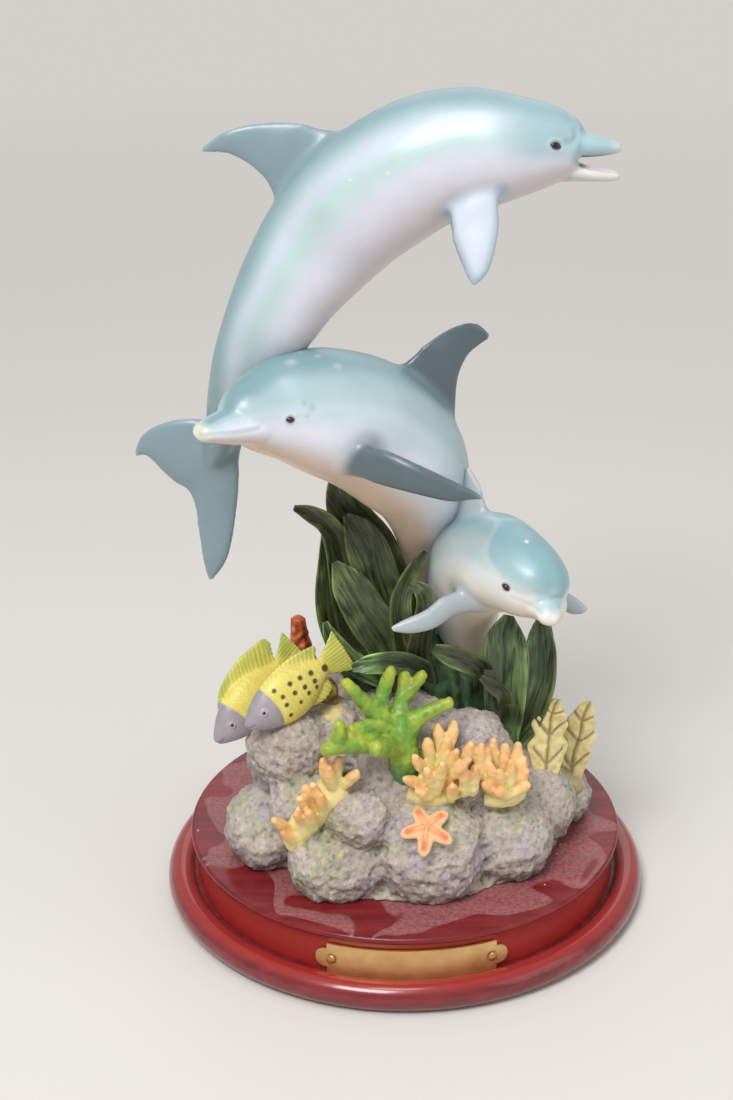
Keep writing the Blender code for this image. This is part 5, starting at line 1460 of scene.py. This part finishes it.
for side, (foot_rows, fingers) in FINGER_CORALS.items():
    bm = bmesh.new()
    slim = FOOT_SHARE[side]
    dropped = [(*[r + d for r, d in zip(row, FOOT_DROP)], row[3] * slim) for row in foot_rows]
    branch(bm, dropped)
    ends = []
    for tip_x, tip_y, tip_back, root_x, root_y, root_back in fingers:
        tip, root = on_sight(tip_x, tip_y, tip_back), on_sight(root_x, root_y, root_back)
        waist = [0.45 * t + 0.55 * r for t, r in zip(tip, root)]
        neck = [0.8 * t + 0.2 * r for t, r in zip(tip, root)]
        size = FINGER_RADIUS
        branch(bm, [
            (*on_foot(dropped, root), size), (*root, size * 0.95), (*waist, size * 1.1),
            (*neck, size), (*tip, size * 0.7),
        ])
        ends.append(at(*tip))
    coral = cast("finger_coral_" + side + "_casting", bm, CORAL_FACET, 4)
    places, outward = places_of(coral), places_of(coral, "normal")
    put_places(coral, places + outward * (clouds_at(places, 2.6, 2.0, 2) * 0.28 / 1000)[:, None])
    out = near_spots(places, np.array(ends))
    depth = hollowness(coral, 10)
    paint = np.tile(np.array(linear("EAD993")[:3]), (len(places), 1))
    paint = spray(paint, "EDBB7C", (1 - fade(2.0, 5.2, out)) * 0.9)
    rubbed = fade(-0.4, 0.3, clouds_at(places, 4, 3.0))
    paint = spray(paint, "E8A264", (1 - fade(0.6, 2.8, out)) * rubbed * 0.8)
    # Painted highlight: pale cream on the ridges. Painted shade: brown in the hollows between the fingers.
    paint = spray(paint, "F6E8B8", fade(0.03, 0.2, -depth) * 0.35)
    paint = spray(paint, "8E6238", fade(0.02, 0.26, depth) * 0.7)
    put_paint(coral, paint)
    coral.data.materials.append(coral_paint)
    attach(coral, "root")
    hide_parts("finger_coral_" + side)


# Leaf coral: one resin casting of two lobed fronds on a short foot, bonded to the rock. It is painted a
# dull yellow, with darker carved veins that run from the midrib up into each lobe. The veins' dark is
# partly painted shade in their grooves, and the hollows are painted darker as shade.
LEAF_CORAL_FOOT = [(40, 1, 12, 3), (42, 1, 12, 5), (46, -2, 12, 5), (49, -3, 12, 3)]
# Each frond is given by the photograph's pixels: where it leaves the rock, then its midrib from foot
# to tip with the half width.
FRONDS = [
    ((548, 772), [
        (546, 776, 12), (546, 768, 14), (547, 757, 17), (548, 746, 20), (549, 736, 14),
        (550, 725, 18), (551, 717, 13), (553, 711, 13), (555, 705, 8), (558, 700, 3),
    ]),
    ((573, 776), [
        (571, 779, 11), (571, 771, 14), (572, 762, 16), (574, 751, 18), (577, 743, 14), (579, 736, 18),
        (581, 728, 13), (582, 721, 15), (584, 714, 10), (587, 708, 8), (590, 702, 2.5),
    ]),
]
FROND_THICKNESS, FROND_CUP, FROND_SET_BACK = 2.3, -0.10, 1.5
FROND_PIXELS_PER_MM = 3.4
VEIN_STARTS = (4.0, 11.5, 18.5)
VEIN_SLANT = 0.95
VEIN_WIDTH, VEIN_DEPTH = 0.42, 0.55


def carved(across, reach):
    """How deep the veins are carved at a place on a frond, from 0 to 1."""
    groove = math.exp(-(across / VEIN_WIDTH) ** 2)
    for start in VEIN_STARTS:
        off = (reach - start - abs(across) * VEIN_SLANT) / math.hypot(1, VEIN_SLANT)
        groove = max(groove, math.exp(-(off / VEIN_WIDTH) ** 2) * (abs(across) < 4.4))
    return groove


bm = bmesh.new()
layer = bm.verts.layers.float_vector.new("leaf")
for number, (foot_pixel, midrib) in enumerate(FRONDS):
    back = seen_at(rock_skin, *foot_pixel)[0].y * 1000 + FROND_SET_BACK
    rows = [(*on_sight(px, py, back), half / FROND_PIXELS_PER_MM) for px, py, half in midrib]
    leaf(bm, rows, number + len(LEAVES), FROND_THICKNESS, FROND_CUP, rings=110, sides=80)
for vert in bm.verts:
    across, reach, _ = vert[layer]
    vert.co -= LEAF_FACING * carved(across, reach) * min(1, reach / 5) * VEIN_DEPTH / 1000
    rough = noise.noise(vert.co * 420) * 0.5 + noise.noise(vert.co * 1000) * 0.2
    vert.co += LEAF_FACING * rough / 1000
branch(bm, LEAF_CORAL_FOOT, 24, 24)
fronds = stand_up("leaf_coral_casting", bm)
grown = layer_of(fronds, "leaf", "vector", 3)
places = places_of(fronds)
veins = np.array([carved(across, reach) for across, reach, _ in grown.tolist()])
paint = np.tile(np.array(linear("EAD795")[:3]), (len(grown), 1))
paint = spray(paint, "EADDA4", fade(-0.3, 0.5, clouds_at(places, 3, 2.0, 2)) * 0.6)
# Painted shade: darker olive in the hollows.
paint = spray(paint, "A8984C", fade(0.0, 0.18, hollowness(fronds, 6)) * 0.8)
# The carved veins are painted darker, partly as painted shade in their grooves.
paint = spray(paint, "8A7150", veins * 0.75)
put_paint(fronds, paint)
fronds.data.materials.append(coral_paint)
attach(fronds, "root")
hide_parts("leaf_coral")


# Sponges: two small resin castings bonded to the rock, with a skin of fine cells. The red one stands
# behind the fish, and the ochre one beside them.
RED_SPONGE = [(-22, -9, 37, 3.5), (-25, -1, 44, 3.4), (-29, 3, 53, 3.2), (-30, 3, 62.5, 2.2)]
BARREL_SPONGE = [(-21, -12, 40, 2.6), (-21, -12.5, 46, 2.9), (-21, -13, 50, 2.6), (-21, -13, 51.5, 1.6)]
for name, rows, node, slot, base, dark in (
    ("red_sponge_casting", RED_SPONGE, "red_sponge", "sponge_red", "C4552F", "7A2F22"),
    ("barrel_sponge_casting", BARREL_SPONGE, "barrel_sponge", "sponge_brown", "B48A4C", "5E4526"),
):
    bm = bmesh.new()
    branch(bm, rows, 40, 32)
    sponge = cast(name, bm, CORAL_FACET, 3)
    places, outward = places_of(sponge), places_of(sponge, "normal")
    cells = clouds_at(places, 1.8, 5.0, 2)
    put_places(sponge, places + outward * (cells * 0.4 / 1000)[:, None])
    paint = np.tile(np.array(linear(base)[:3]), (len(places), 1))
    paint = spray(paint, dark, fade(0.1, -0.4, cells))
    paint = spray(paint, "DDBB5A", fade(0.2, 0.6, cells) * 0.6)
    put_paint(sponge, paint)
    sponge.data.materials.append(coral_paint)
    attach(sponge, "root")
    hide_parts(node)


# Starfish: a thin resin casting with five blunt arms, bonded to the front boulder. It is painted
# cream orange, with a red stroke down each arm.
STARFISH_PLACE = (6.2, -46.2, 24.6)
STARFISH_SEAT = (7, -34, 10)
STARFISH_TURN = math.radians(47)
STARFISH_ARMS = 5
STARFISH_ARM, STARFISH_WAIST, STARFISH_THICKNESS = 7.5, 3.9, 2.1
STROKE_REACH, STROKE_RISE = 5.5, 1.4

bm = bmesh.new()
ball = bmesh.ops.create_uvsphere(bm, u_segments=120, v_segments=40, radius=1.0)["verts"]
outward_axis = (at(*STARFISH_PLACE) - at(*STARFISH_SEAT)).normalized()
facing = Matrix.Translation(at(*STARFISH_PLACE)) @ outward_axis.to_track_quat("Z", "Y").to_matrix().to_4x4()
facing = facing @ Matrix.Rotation(STARFISH_TURN, 4, "Z")
for vert in ball:
    turn = math.atan2(vert.co.y, vert.co.x)
    lobe = 0.5 + 0.5 * math.cos(STARFISH_ARMS * turn)
    spread = math.hypot(vert.co.x, vert.co.y)
    reach = (STARFISH_WAIST + (STARFISH_ARM - STARFISH_WAIST) * lobe) * spread
    ridge = 0.45 * math.exp(-(math.sin(STARFISH_ARMS / 2 * turn) * reach / 0.9) ** 2) * (1 - spread)
    rise = vert.co.z * STARFISH_THICKNESS * (1 - 0.45 * spread) - reach ** 2 / 36
    if vert.co.z > 0:
        rise += ridge
    vert.co = facing @ (Vector((math.cos(turn) * reach, math.sin(turn) * reach, rise)) / 1000)
starfish = stand_up("starfish_casting", bm)
places = places_of(starfish)
paint = np.tile(np.array(linear("F0C48E")[:3]), (len(places), 1))
heart = facing @ Vector((0, 0, STROKE_RISE / 1000))
for arm in range(STARFISH_ARMS):
    turn = arm * math.tau / STARFISH_ARMS
    tip = facing @ (Vector((math.cos(turn), math.sin(turn), 0)) * STROKE_REACH / 1000)
    paint = stroke(paint, starfish, [heart, (heart + tip) / 2, tip], 1.3, "E4684A", 0.8)
put_paint(starfish, paint)
starfish.data.materials.append(coral_paint)
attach(starfish, "root")
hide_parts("starfish")
